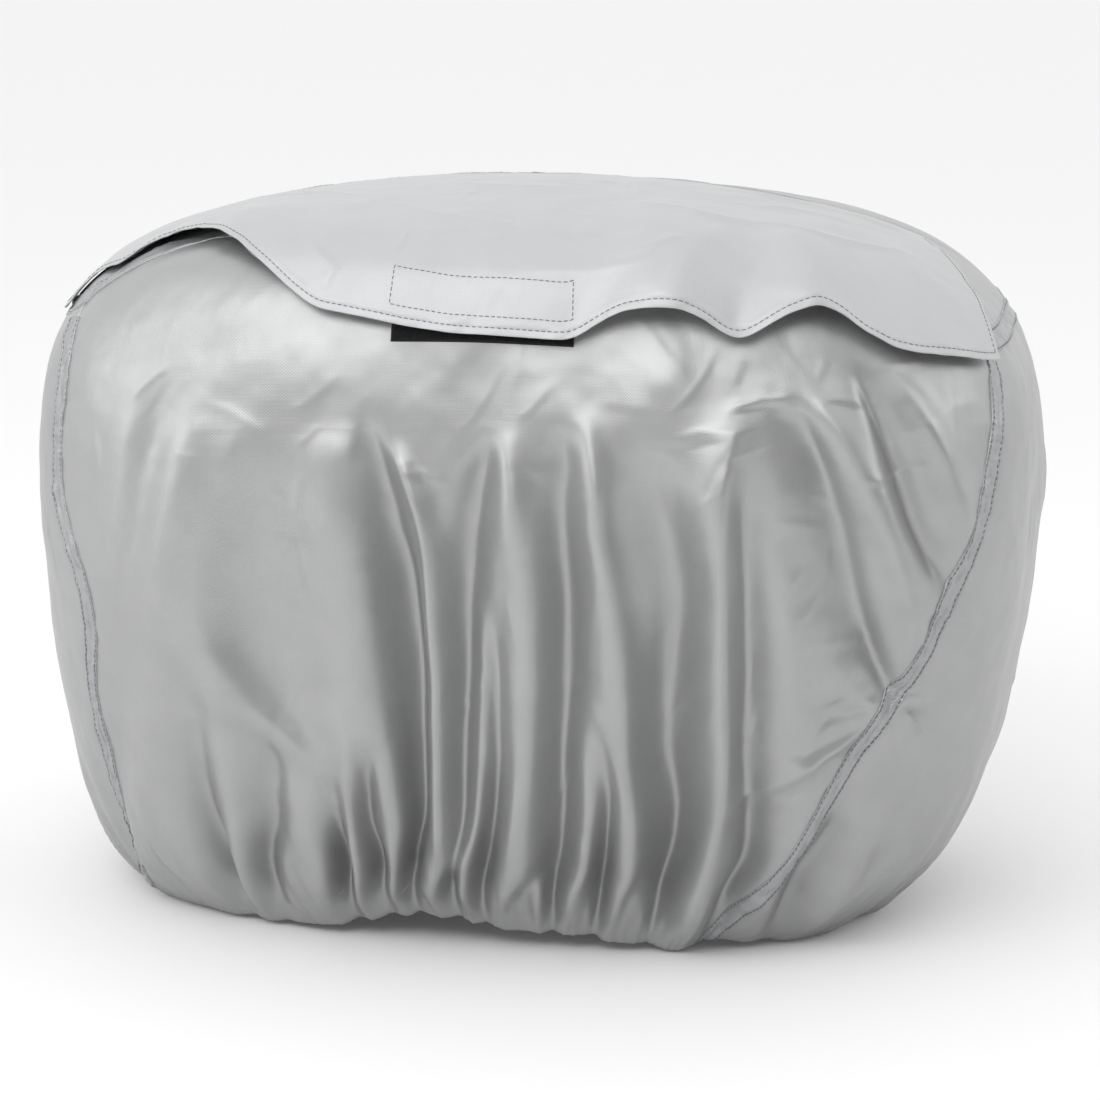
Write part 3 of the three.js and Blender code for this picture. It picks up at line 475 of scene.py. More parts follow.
def value_noise(x, y, seed):
    """Smooth noise of about -1 to 1, one feature a unit."""
    r = np.random.default_rng(seed)
    G = r.uniform(-1, 1, (64, 64))
    xi, yi = np.floor(x).astype(int), np.floor(y).astype(int)
    fx, fy = x - xi, y - yi
    fx, fy = fx * fx * fx * (fx * (fx * 6 - 15) + 10), fy * fy * fy * (fy * (fy * 6 - 15) + 10)
    g = lambda i, j: G[np.mod(xi + i, 64), np.mod(yi + j, 64)]
    return (g(0, 0) * (1 - fx) + g(1, 0) * fx) * (1 - fy) + (g(0, 1) * (1 - fx) + g(1, 1) * fx) * fy


def fbm(x, y, seed, octaves=3):
    return sum(value_noise(x * 2 ** k + 11.3 * k, y * 2 ** k + 5.7 * k, seed + k) / 2 ** k for k in range(octaves))


def random_creases(seed, count, s_range, h_range, angle, spread, amp, width, length):
    """Short wrinkles: lines with a slight bend, a ridge beside a trough."""
    r = np.random.default_rng(seed)
    out = []
    for _ in range(count):
        s0, h0 = r.uniform(*s_range), r.uniform(*h_range)
        th = math.radians(angle + r.normal(0, spread))
        L, w, a = r.uniform(*length), r.uniform(*width), r.uniform(*amp)
        d = np.array([math.cos(th), math.sin(th)])
        n = np.array([-d[1], d[0]])
        k = r.uniform(-0.12, 0.12) * L
        P = [tuple(np.array([s0, h0]) + d * L * (t - 0.5) + n * k * (1 - (2 * t - 1) ** 2)) for t in (0, 0.33, 0.66, 1)]
        Q = [tuple(np.array(p) - n * w * 1.1) for p in P]
        out.append((P, a, w))
        out.append((Q, -0.8 * a, w))
    return out


def gathers(S, H, seed, low=1.0):
    """Fine pleats that the elastic makes along the hem, and broader ones above them."""
    u = S + 9 * value_noise(S / 60, H / 90, seed) + 3 * value_noise(S / 23, H / 50, seed + 1)
    broad = np.sin(2 * np.pi * u / 31 + 2.2 * value_noise(S / 90, H / 160, seed + 2)) * (0.55 + 0.45 * value_noise(S / 70, H / 200, seed + 3))
    mid = np.sin(2 * np.pi * (u + 4 * value_noise(S / 15, H / 40, seed + 4)) / 13.5) * (0.6 + 0.4 * value_noise(S / 33, H / 60, seed + 5))
    w = u + 1.5 * value_noise(S / 9, H / 15, seed + 6)
    fine = np.sin(2 * np.pi * w / 7.2) * (0.65 + 0.35 * value_noise(S / 20, H / 40, seed + 7))
    return low * (3.2 * broad * (1 - ease(H, 30, 115)) * ease(H, -6, 40) + 2.4 * mid * (1 - ease(H, 14, 62)) * ease(H, -8, 24) + 1.2 * fine * (1 - ease(H, 3, 26)))


WRINKLES_FRONT = random_creases(21, 46, (-300, 320), (95, 300), 86, 16, (0.35, 0.9), (2.2, 4.5), (25, 80)) \
    + random_creases(22, 36, (-300, 320), (120, 340), 15, 40, (0.3, 0.8), (1.8, 3.6), (14, 42)) \
    + random_creases(23, 26, (-280, 330), (300, 385), 70, 45, (0.25, 0.6), (2.5, 5), (20, 60))
WRINKLES_ALL = random_creases(31, 60, (-860, 860), (60, 330), 84, 25, (0.4, 1.1), (2.5, 6), (30, 110)) \
    + random_creases(32, 60, (-860, 860), (90, 350), 20, 40, (0.3, 0.8), (2, 4.5), (18, 60))


def seam_list():
    return [FRONT_RIGHT, BACK_RIGHT, BACK_LEFT, FRONT_LEFT]


def wrap_s(d):
    return (d + HALF_GIRTH) % (2 * HALF_GIRTH) - HALF_GIRTH


def displacement(a, v):
    """How far the cloth stands out of the smooth surface, in mm."""
    S, H = s_at(a), h_at(v)
    front = 1 - ease(np.abs(S), 330, 400)
    SB = wrap_s(S - HALF_GIRTH)               # 0 in the back's middle
    back = 1 - ease(np.abs(SB), 330, 400)
    D = np.zeros(S.shape)
    m = front > 0
    if m.any():
        s, h = S[m], H[m]
        d = 1.32 * long_folds(s, h) * (0.18 + 0.82 * ease(h, 0, 38)) + (0.5 + 0.35 * ease(s, 150, 200) * (1 - ease(h, 190, 230))) * creases(s, h, CREASES) + 0.7 * creases(s, h, WRINKLES_FRONT) + creases(s, h, PINCH)
        D[m] += d * front[m]
    m = back > 0
    if m.any():
        s, h = SB[m] * 1.06 + 14, H[m] + 5 * value_noise(SB[m] / 150, H[m] / 150, 91)
        D[m] += long_folds(s, h, 0.85, mirror=False) * (0.22 + 0.78 * ease(h, 0, 34)) * back[m]
    elsewhere = 1 - 0.85 * front
    D += elsewhere * creases(S, H, WRINKLES_ALL)
    # the front is fullest at the height where the folds start, and leans back above it
    HL = H + 15 * fbm(S / 58, H / 300, 105, 2)
    lean = smooth_interp(HL, np.array([0, 190, 235, 270, 290, 325, 365, 400, 430.0]), np.array([0, 0, 2.2, 4.6, 4.9, 1.4, -4.2, -3.2, 0]))
    lean = lean * (1 - 0.55 * (1 - ease(S, -175, -70))) + 1.6 * value_noise(S / 46, H / 60, 109) * ease(H, 230, 280) * (1 - ease(H, 330, 370))
    wave = np.exp(-((S + 215) / 34) ** 2) * np.exp(-((H - 402) / 13) ** 2)
    D += 4.0 * wave
    D += lean * (1 - ease(np.abs(S), 170, 340)) * np.where(np.abs(S) < HALF_GIRTH / 2, 1.0, 0.0) + lean * 0.7 * (1 - ease(np.abs(SB), 215, 300))
    # slack in the walls and under the top edge
    D += 1.5 * fbm(S / 95, H / 120, 41, 3) * ease(H, 20, 90) + 0.45 * fbm(S / 26, H / 34, 51, 3)
    D += elsewhere * (2.6 * fbm(S / 60, H / 190, 61, 2) * (1 - ease(H, 240, 350)))
    # hem gathers: strongest in front and at the back, slight on the sides
    side = 1 - np.maximum(front * (1 - ease(np.abs(S), 210, 320)), back * (1 - ease(np.abs(SB), 230, 330)))
    D += gathers(S, H, 71, 1.0) * (0.30 + 0.55 * side) * np.where(front > 0.5, 0.9, 1.0)
    # puckers beside the wall seams
    for k, T in enumerate(seam_list()):
        d = wrap_s(S - s_at(table(T, v)))
        p = np.exp(-np.abs(d) / 11.0)
        D += p * (0.85 * value_noise(H / 11.0 + 3 * k, np.sign(d) * 3.3 + d / 60 + 7, 81 + k) + 0.5 * value_noise(H / 4.6, np.sign(d) * 9.1 + d / 40, 85 + k))
        D -= 1.1 * np.exp(-(d / 7.0) ** 2)
    # puckers under the top seam
    vt = top_seam_v(a)
    d = (v - vt) * 480
    D += np.exp(-np.abs(d) / 12.0) * (0.8 * value_noise(S / 13.0, np.sign(d) * 2.7 + 5, 95) + 0.4 * value_noise(S / 5.2, np.sign(d) * 5.1 + 9, 96))
    D -= 0.9 * np.exp(-(d / 6.5) ** 2)
    return np.where(D > 9, 9 + 5 * np.tanh((D - 9) / 5), np.maximum(D, -24))


def top_seam_v(a):
    """Height parameter of the seam round the top panel: the front panel runs further up, under the flap."""
    w = np.mod(np.asarray(a, float), 2 * np.pi)
    l, r = np.radians(213.0), np.radians(335.5)
    u = (w - l) / (r - l)
    return TOP_SEAM_V + 0.095 * ease(u, 0, 0.105) * ease(1 - u, 0, 0.16) + 0.085 * np.exp(-((s_at(w) + 226) / 60) ** 2)


def hem_lift(S):
    """The elastic pulls the hem up a little in the middle of the front and of the back."""
    SB = wrap_s(S - HALF_GIRTH)
    return 15 * np.exp(-((S + 55) / 75) ** 2) + 6 * np.exp(-((S - 60) / 45) ** 2) + 5 * np.exp(-((S - 190) / 22) ** 2) + 11 * np.exp(-((SB - 10) / 110) ** 2) \
        + 4 * np.exp(-((S + 520) / 70) ** 2) + 3 * np.exp(-((S - 500) / 60) ** 2)


def cloth(a, v, off=0.0):
    """Point of the cloth's outer face, off mm further out along the smooth normal."""
    a, v = np.broadcast_arrays(np.asarray(a, float), np.asarray(v, float))
    P = skin(a, v) + skin_normal(a, v) * (displacement(a, v) + off)[..., None]
    H = h_at(v)
    P[..., 2] += hem_lift(s_at(a)) * (1 - ease(H, 0, 85))
    low = 1 - ease(H, 2, 26)
    P[..., 2] = np.where(P[..., 2] < 0.6, 0.6 + 0.25 * (P[..., 2] - 0.6) * low, P[..., 2])
    return P

# ------------------------------------------------------------------ plan to surface
_r_v = None
def plan_to_av(x, y):
    """Plan point to (angle, v) on the smooth surface, above its fullest height."""
    x, y = np.broadcast_arrays(np.asarray(x, float), np.asarray(y, float))
    a = np.arctan2(y / B, x / A)
    r = np.hypot(x / A, y / B)
    lo, hi = np.full(x.shape, 0.45), np.full(x.shape, 0.9995)
    for _ in range(30):
        m = (lo + hi) / 2
        p = skin(a, m)
        rm = np.hypot(p[..., 0] / A, p[..., 1] / B)
        lo, hi = np.where(rm > r, m, lo), np.where(rm > r, hi, m)
    return a, (lo + hi) / 2


def on_top(x, y, off=0.0, relief=True):
    """Point of the cloth above plan point (x, y), moved along the smooth normal."""
    a, v = plan_to_av(x, y)
    h = 2.5
    def z(px, py):
        aa, vv = plan_to_av(px, py)
        return skin(aa, vv)[..., 2]
    n = unit(np.stack([(z(x - h, y) - z(x + h, y)) / (2 * h), (z(x, y - h) - z(x, y + h)) / (2 * h), np.ones(np.shape(x))], -1))
    P = skin(a, v)
    d = displacement(a, v) if relief else 0.0
    return P + n * (d + off)[..., None] if np.ndim(d + off) else P + n * (d + off), n

# ------------------------------------------------------------------ mesh helpers
def make(name, V, F, mats, cloth_xy=None, smooth=True, mat_index=None):
    me = bpy.data.meshes.new(name)
    V = np.asarray(V, float).reshape(-1, 3) * MM
    F = np.asarray(F, np.int32)
    n, k = F.shape
    me.vertices.add(len(V))
    me.vertices.foreach_set("co", V.ravel())
    me.loops.add(n * k)
    me.loops.foreach_set("vertex_index", F.ravel())
    me.polygons.add(n)
    me.polygons.foreach_set("loop_start", np.arange(0, n * k, k, dtype=np.int32))
    me.polygons.foreach_set("loop_total", np.full(n, k, dtype=np.int32))
    if mat_index is not None:
        me.polygons.foreach_set("material_index", np.asarray(mat_index, np.int32))
    me.update(calc_edges=True)
    me.polygons.foreach_set("use_smooth", np.full(n, smooth))
    if cloth_xy is not None:
        at = me.attributes.new("cloth", "FLOAT_VECTOR", "POINT")
        c = np.zeros((len(V), 3))
        c[:, :2] = np.asarray(cloth_xy, float).reshape(-1, 2)
        at.data.foreach_set("vector", c.ravel())
    for m in mats:
        me.materials.append(m)
    me.validate()
    ob = bpy.data.objects.new(name, me)
    bpy.context.scene.collection.objects.link(ob)
    return ob


def quads(nu, nv, wrap_u=False, wrap_v=False, start=0):
    i, j = np.meshgrid(np.arange(nu if wrap_u else nu - 1), np.arange(nv if wrap_v else nv - 1), indexing="ij")
    i1, j1 = (i + 1) % nu, (j + 1) % nv
    return start + np.stack([i * nv + j, i1 * nv + j, i1 * nv + j1, i * nv + j1], -1).reshape(-1, 4)


def tri_as_quad(F):
    return F


def grid(name, P, mats, cloth_xy, wrap_u=False, wrap_v=False, flip=False):
    nu, nv = P.shape[:2]
    F = quads(nu, nv, wrap_u, wrap_v)
    if flip:
        F = F[:, ::-1]
    return make(name, P, F, mats, cloth_xy)


def thicken(ob, mm, inner=False):
    m = ob.modifiers.new("thickness", "SOLIDIFY")
    m.thickness = mm * MM
    m.offset = -1
    m.use_even_offset = False
    if inner:
        m.material_offset = 1
    return m


def arc_steps(L, mm_low, mm_high, knee):
    """Positions from 0 to L, mm_low apart up to the knee and mm_high apart above it."""
    a = np.linspace(0, knee, max(int(knee / mm_low), 2), endpoint=False)
    b = np.linspace(knee, L, max(int((L - knee) / mm_high), 2))
    return np.concatenate([a, b])


def frames(P, N):
    """Tangent and side vectors along a path."""
    T = unit(np.gradient(P, axis=0))
    Nn = unit(N - T * np.sum(N * T, -1, keepdims=True))
    return T, Nn, np.cross(Nn, T)


def resample(P, N, pitch, start=0.5, end=0.5):
    L = np.concatenate([[0], np.cumsum(np.linalg.norm(np.diff(P, axis=0), axis=1))])
    n = max(int(L[-1] / pitch), 1)
    s = (np.arange(n) + 0.5) * L[-1] / n
    Q = np.stack([np.interp(s, L, P[:, k]) for k in range(3)], -1)
    M = unit(np.stack([np.interp(s, L, N[:, k]) for k in range(3)], -1))
    e = 1.0
    Q0 = np.stack([np.interp(s - e, L, P[:, k]) for k in range(3)], -1)
    Q1 = np.stack([np.interp(s + e, L, P[:, k]) for k in range(3)], -1)
    return Q, M, unit(Q1 - Q0)


def stitch_mesh(rows, length=2.7, radius=0.34, pitch=3.5, lift=0.05, seed=5):
    """Stitches along rows of (points, normals): each a short thread that dips into the cloth at both ends."""
    r = np.random.default_rng(seed)
    ring, segs = 6, 6
    t = np.linspace(-1, 1, segs + 1)
    X = t * length / 2
    R = radius * np.sqrt(np.maximum(1 - np.abs(t) ** 5, 0.06))
    Z = radius * 0.75 * (1 - np.abs(t) ** 2.6) - radius * 0.55
    ang = np.arange(ring) / ring * 2 * np.pi
    tv = np.stack([np.repeat(X[:, None], ring, 1), R[:, None] * np.cos(ang)[None], Z[:, None] + R[:, None] * 0.85 * np.sin(ang)[None]], -1).reshape(-1, 3)
    twist = 0.10 * radius * np.sin(6 * ang[None] + 9 * X[:, None]).reshape(-1)
    tf = []
    for i in range(segs):
        for j in range(ring):
            k = (j + 1) % ring
            tf.append((i * ring + j, (i + 1) * ring + j, (i + 1) * ring + k, i * ring + k))
    tf.append((0, 1, 2, 5)); tf.append((5, 2, 3, 4))
    e = segs * ring
    tf.append((e + 0, e + 5, e + 2, e + 1)); tf.append((e + 5, e + 4, e + 3, e + 2))
    tf = np.array(tf)
    VV, FF, CC, n0 = [], [], [], 0
    for P, N in rows:
        Q, M, T = resample(P, N, pitch)
        M = unit(M - T * np.sum(M * T, -1, keepdims=True))
        W = np.cross(M, T)
        k = len(Q)
        tilt = r.normal(0, 0.05, k)
        T2 = T * np.cos(tilt)[:, None] + W * np.sin(tilt)[:, None]
        W2 = np.cross(M, T2)
        ln = 1 + r.normal(0, 0.04, k)
        V = Q[:, None] + (tv[None, :, 0] * ln[:, None])[..., None] * T2[:, None] + tv[None, :, 1, None] * W2[:, None] + (tv[None, :, 2, None] + lift) * M[:, None]
        VV.append(V.reshape(-1, 3))
        FF.append((tf[None] + (n0 + np.arange(k) * len(tv))[:, None, None]).reshape(-1, 4))
        CC.append(np.stack([np.tile(tv[:, 0], k) + np.repeat(np.arange(k) * 3.5, len(tv)), np.tile(np.tile(ang, segs + 1), k)], -1))
        n0 += k * len(tv)
    return np.concatenate(VV), np.concatenate(FF), np.concatenate(CC)


def stitch_piece(name, rows, mat, **kw):
    V, F, C = stitch_mesh(rows, **kw)
    return make(name, V, F, [mat], C)

# ------------------------------------------------------------------ materials
def material(name, base, metallic, roughness, **kw):
    m = bpy.data.materials.new(name)
    m.use_nodes = True
    b = m.node_tree.nodes["Principled BSDF"]
    b.inputs["Base Color"].default_value = (*base, 1)
    b.inputs["Metallic"].default_value = metallic
    b.inputs["Roughness"].default_value = roughness
    for k, x in kw.items():
        b.inputs[k.replace("_", " ")].default_value = x
    return m, m.node_tree, b


def node(t, kind, **props):
    n = t.nodes.new(kind)
    for k, x in props.items():
        setattr(n, k, x)
    return n


def maths(t, op, a, b=None, c=None):
    n = t.nodes.new("ShaderNodeMath")
    n.operation = op
    for i, x in enumerate((a, b, c)):
        if x is None:
            continue
        if isinstance(x, (int, float)):
            n.inputs[i].default_value = x
        else:
            t.links.new(x, n.inputs[i])
    return n.outputs[0]


def woven(name, base, dark, metallic, roughness, pitch=0.80, depth=0.05, slub=1.0, rough_var=0.07, **kw):
    """Cloth with a plain weave, uneven yarns and slight changes of tone. Lengths in mm, from the piece's own cloth coordinates."""
    m, t, b = material(name, base, metallic, roughness, **kw)
    at = node(t, "ShaderNodeAttribute", attribute_name="cloth")
    sep = node(t, "ShaderNodeSeparateXYZ")
    t.links.new(at.outputs["Vector"], sep.inputs[0])
    wob = node(t, "ShaderNodeTexNoise", noise_dimensions="2D")
    wob.inputs["Scale"].default_value = 0.22
    wob.inputs["Detail"].default_value = 2
    t.links.new(at.outputs["Vector"], wob.inputs["Vector"])
    shift = maths(t, "MULTIPLY_ADD", wob.outputs["Fac"], 0.9 * pitch, -0.45 * pitch)
    x = maths(t, "ADD", sep.outputs[0], shift)
    y = maths(t, "SUBTRACT", sep.outputs[1], shift)
    k = math.pi / pitch
    sx, sy = maths(t, "SINE", maths(t, "MULTIPLY", x, k)), maths(t, "SINE", maths(t, "MULTIPLY", y, k))
    cell = maths(t, "MULTIPLY", sx, sy)
    # yarns that are thicker or thinner along their run
    warp = node(t, "ShaderNodeTexNoise", noise_dimensions="2D")
    mp = node(t, "ShaderNodeMapping")
    mp.inputs["Scale"].default_value = (1.0 / pitch, 0.035, 1)
    t.links.new(at.outputs["Vector"], mp.inputs["Vector"])
    t.links.new(mp.outputs[0], warp.inputs["Vector"])
    warp.inputs["Scale"].default_value = 1.0
    weft = node(t, "ShaderNodeTexNoise", noise_dimensions="2D")
    mp2 = node(t, "ShaderNodeMapping")
    mp2.inputs["Scale"].default_value = (0.035, 1.0 / pitch, 1)
    t.links.new(at.outputs["Vector"], mp2.inputs["Vector"])
    t.links.new(mp2.outputs[0], weft.inputs["Vector"])
    weft.inputs["Scale"].default_value = 1.0
    yarn = maths(t, "ADD", warp.outputs["Fac"], weft.outputs["Fac"])
    height = maths(t, "ADD", maths(t, "MULTIPLY", cell, 0.5), maths(t, "MULTIPLY", yarn, 0.9 * slub))
    bump = node(t, "ShaderNodeBump")
    bump.inputs["Strength"].default_value = 1.0
    bump.inputs["Distance"].default_value = depth * MM
    t.links.new(height, bump.inputs["Height"])
    t.links.new(bump.outputs[0], b.inputs["Normal"])
    # tone: broad changes at random, and a painted highlight on the yarns' crowns, lighter where the weave stands up
    tone = node(t, "ShaderNodeTexNoise", noise_dimensions="2D")
    tone.inputs["Scale"].default_value = 0.045
    tone.inputs["Detail"].default_value = 4
    t.links.new(at.outputs["Vector"], tone.inputs["Vector"])
    # the yarn and weave terms paint the raised crowns lighter: painted highlight
    f = maths(t, "ADD", maths(t, "MULTIPLY", tone.outputs["Fac"], 0.62), maths(t, "MULTIPLY", yarn, 0.20))
    f = maths(t, "ADD", f, maths(t, "MULTIPLY", cell, 0.10))
    mix = node(t, "ShaderNodeMix", data_type="RGBA", clamp_factor=True)
    t.links.new(f, mix.inputs[0])
    mix.inputs[6].default_value = (*dark, 1)
    mix.inputs[7].default_value = (*base, 1)
    t.links.new(mix.outputs[2], b.inputs["Base Color"])
    rr = maths(t, "MULTIPLY_ADD", f, -rough_var, roughness + rough_var * 0.5)
    t.links.new(rr, b.inputs["Roughness"])
    return m


SILVER = woven("silver_fabric", (0.42, 0.422, 0.424), (0.37, 0.372, 0.375), 0.68, 0.41)
# the flap's copy of the same silver fabric, with less metal and more roughness; its lighter base colour is painted
# light for the brightly lit, upward-facing flap
FLAP_PAINTED_LIGHTER_SILVER = woven("silver_fabric_painted_lighter", (0.52, 0.527, 0.532), (0.475, 0.483, 0.49), 0.34, 0.52)
INNER = woven("inner_backing", (0.56, 0.56, 0.55), (0.45, 0.45, 0.44), 0.0, 0.72, depth=0.16, Specular_IOR_Level=0.3)
TAPE = woven("seam_fabric", (0.42, 0.428, 0.436), (0.33, 0.336, 0.344), 0.60, 0.38, depth=0.13, Specular_IOR_Level=0.5)
THREAD = woven("grey_thread", (0.19, 0.20, 0.215), (0.11, 0.118, 0.13), 0.0, 0.62, pitch=0.45, depth=0.06, Sheen_Weight=0.25)
PALE_THREAD = woven("pale_grey_thread", (0.19, 0.212, 0.25), (0.13, 0.148, 0.18), 0.0, 0.6, pitch=0.45, depth=0.05)
HOOKS = woven("black_hook_tape", (0.022, 0.022, 0.024), (0.010, 0.010, 0.011), 0.0, 0.55, pitch=0.9, depth=0.2)
LOOPS = woven("black_loop_tape", (0.014, 0.014, 0.016), (0.006, 0.006, 0.007), 0.0, 0.9, pitch=0.5, depth=0.35, slub=2.0, Sheen_Weight=0.06, Specular_IOR_Level=0.2)
ELASTIC = woven("white_elastic", (0.62, 0.61, 0.58), (0.48, 0.47, 0.45), 0.0, 0.75, pitch=1.3, depth=0.25)

# ------------------------------------------------------------------ wall panels
SEAMS = {"front_right": FRONT_RIGHT, "back_right": BACK_RIGHT, "back_left": BACK_LEFT, "front_left": FRONT_LEFT}
TAU = 2 * math.pi
ROLL = 5.0
_vf = np.linspace(0, 0.9, 1200)


def wall_panel(name, left, right, add_l, add_r, mm_u, mm_v):
    mid = (table(left, np.array([0.45])) + add_l + table(right, np.array([0.45])) + add_r)[0] / 2
    prof = skin(np.full_like(_vf, mid), _vf)
    Lp = np.concatenate([[0], np.cumsum(np.linalg.norm(np.diff(prof, axis=0), axis=1))])
    top_l = np.interp(TOP_SEAM_V, _vf, Lp)
    t = arc_steps(top_l, 1.1, mm_v, 24)
    vb = np.interp(t, Lp, _vf) / TOP_SEAM_V           # 0 to 1
    vb[-1] = 1
    wl = table(left, np.array([0.45]))[0] + add_l
    wr = table(right, np.array([0.45]))[0] + add_r
    width = abs(s_at(np.linspace(wl, wr, 200))[:-1] - 0).size and np.sum(np.linalg.norm(np.diff(skin(np.linspace(wl, wr, 400), np.full(400, 0.45)), axis=0), axis=1))
    nu = int(width / mm_u) + 1
    u = np.linspace(0, 1, nu)[:, None]
    at_l, at_r = table(left, np.array([0.6]))[0] + add_l, table(right, np.array([0.6]))[0] + add_r
    vt = top_seam_v(at_l + (at_r - at_l) * u)
    v = vb[None] * vt
    a = (table(left, v) + add_l) * (1 - u) + (table(right, v) + add_r) * u
    P = cloth_rolled(a, v)
    S = np.unwrap(a, axis=0)
    L = np.interp(v, _vf, Lp)
    C = np.stack([S / TAU * 2 * HALF_GIRTH, L], -1)
    ob = grid(name, P, [SILVER, INNER], C)
    thicken(ob, 0.6, True)
    return ob, float(width), float(top_l)


def cloth_rolled(a, v, off=0.0):
    H = h_at(np.broadcast_to(v, np.broadcast(a, v).shape))
    k = np.clip((ROLL - H) / ROLL, 0, 1)
    return cloth(a, v, off - ROLL * (1 - np.sqrt(np.maximum(1 - k * k, 0))))


fine = 1.6
front, wf_, hf_ = wall_panel("front_panel_cloth", FRONT_LEFT, FRONT_RIGHT, 0, 0, fine, 2.0)
right, wr_, hr_ = wall_panel("right_side_panel_cloth", FRONT_RIGHT, BACK_RIGHT, 0, TAU, 1.9, 2.2)
backp, wb_, hb_ = wall_panel("back_panel_cloth", BACK_RIGHT, BACK_LEFT, 0, 0, 2.2, 2.4)
left, wl_, hl_ = wall_panel("left_side_panel_cloth", BACK_LEFT, FRONT_LEFT, 0, 0, 1.9, 2.2)
for ob, n in ((front, "front_panel"), (right, "right_side_panel"), (backp, "back_panel"), (left, "left_side_panel")):
    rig.ride(ob, "cover")
    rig.replaces(ob, n)
    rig.slot(ob, "silver_fabric")

# ------------------------------------------------------------------ top panel, with its opening
OPEN_X, OPEN_Y, OPEN_HX, OPEN_HY, OPEN_N = 0.0, -72.0, 150.0, 42.0, 5.0


def opening_edge(dx, dy, grow=0.0):
    k = (np.abs(dx / (OPEN_HX + grow)) ** OPEN_N + np.abs(dy / (OPEN_HY + grow)) ** OPEN_N) ** (-1 / OPEN_N)
    return OPEN_X + dx * k, OPEN_Y + dy * k


def top_ring(na, nr):
    a = np.linspace(0, TAU, na, endpoint=False)
    vt = top_seam_v(a)
    Q = skin(a, vt)
    ox, oy = opening_edge(Q[:, 0] - OPEN_X, Q[:, 1] - OPEN_Y)
    r = np.linspace(0, 1, nr)[None]
    x = ox[:, None] + (Q[:, None, 0] - ox[:, None]) * r
    y = oy[:, None] + (Q[:, None, 1] - oy[:, None]) * r
    P, _ = on_top(x, y)
    P[:, -1] = cloth(a, vt)
    return P, np.stack([x, y], -1)


P, C = top_ring(820, 62)
top = grid("top_panel_cloth", P, [SILVER, INNER], C, wrap_u=True, flip=True)
thicken(top, 0.6, True)
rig.ride(top, "cover"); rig.replaces(top, "top_panel"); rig.slot(top, "silver_fabric")

# ------------------------------------------------------------------ felled seams
def band(name, a, v, nodes, half=None, ring=False, raised=1.0):
    """A felled seam along (a, v): raised, turned under at both edges, drawn down at its two stitch rows."""
    P0 = cloth_rolled(a, v)
    N0 = skin_normal(a, v)
    if ring:
        T = unit(np.roll(P0, -1, 0) - np.roll(P0, 1, 0))
    else:
        T = unit(np.gradient(P0, axis=0))
    # the smooth path sets the direction across, so that puckers don't twist the band
    base = skin(a, v)
    Tb = unit(np.roll(base, -1, 0) - np.roll(base, 1, 0)) if ring else unit(np.gradient(base, axis=0))
    W = unit(np.cross(N0, Tb))
    da = (skin(a + 1e-3, v) - skin(a - 1e-3, v)) / 2e-3
    dv = (skin(a, np.minimum(v + 1e-3, 1)) - skin(a, np.maximum(v - 1e-3, 0))) / (np.minimum(v + 1e-3, 1) - np.maximum(v - 1e-3, 0))[:, None]
    # W as a step in (a, v)
    G = np.stack([np.stack([np.sum(da * da, -1), np.sum(da * dv, -1)], -1), np.stack([np.sum(da * dv, -1), np.sum(dv * dv, -1)], -1)], -2)
    R = np.stack([np.sum(W * da, -1), np.sum(W * dv, -1)], -1)
    step = np.linalg.solve(G, R[..., None])[..., 0]
    L = np.concatenate([[0], np.cumsum(np.linalg.norm(np.diff(P0, axis=0), axis=1))])
    f = np.array([-1.0, -0.99, -0.94, -0.87, -0.80, -0.73, -0.60, -0.4, -0.2, 0.0, 0.2, 0.4, 0.60, 0.73, 0.80, 0.87, 0.94, 0.99, 1.0])
    width = (4.8 + 1.9 * ease(h_at(v), 130, 230)) if half is None else np.full_like(v, half)
    q = f[None] * width[:, None]
    edge = np.where(np.abs(f) > 0.985, 0.15, 1.0)
    edge = np.where(np.abs(f) > 0.998, -0.3, edge)
    rows_at = 0.80 * width[:, None]
    dip = -0.70 * np.exp(-((np.abs(q) - rows_at) / 0.62) ** 2)
    aa = a[:, None] + step[:, None, 0] * q
    vv = np.clip(v[:, None] + step[:, None, 1] * q, 0, 0.95)
    ph = np.cos(TAU * L[:, None] / 3.5)
    puck = 0.20 * ph * np.exp(-((np.abs(q) - rows_at) / 1.6) ** 2)
    wav = 0.42 * value_noise(L[:, None] / 9.0, q / 7.0 + 3.1, 131) + 0.32 * value_noise(L[:, None] / 4.2, q / 3.0 + 1.7, 132)
    off = raised * edge[None] + dip + puck + wav * (edge[None] > 0.5)
    P = cloth_rolled(aa, vv, off)
    C = np.stack([q, np.broadcast_to(L[:, None], P.shape[:2])], -1)
    ob = grid(name, P, [TAPE], C, wrap_u=ring)
    me = ob.data
    # faces look outwards
    n = np.zeros(len(me.polygons) * 3); me.polygons.foreach_get("normal", n)
    n = n.reshape(-1, 3)
    c = np.zeros(len(me.polygons) * 3); me.polygons.foreach_get("center", c); c = c.reshape(-1, 3) - np.array([0, 0, 0.2])
    if np.sum(np.sum(n * c, -1)) < 0:
        me.flip_normals()
    thicken(ob, 0.7)
    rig.ride(ob, "cover")
    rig.replaces(ob, *nodes)
    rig.slot(ob, "seam_tape")
    rows = []
    for s in (-1, 1):
        i = np.argmin(np.abs(f - s * 0.80))
        rows.append((P[:, i], np.repeat(N0, 1, 0)))
    return ob, rows


def seam_path(T, top_v, mm=1.0, v0=0.0):
    vf = np.linspace(v0, top_v, 900)
    a = table(T, vf)
    Q = skin(a, vf)
    L = np.concatenate([[0], np.cumsum(np.linalg.norm(np.diff(Q, axis=0), axis=1))])
    s = np.linspace(0, L[-1], int(L[-1] / mm))
    v = np.interp(s, L, vf)
    return table(T, v), v


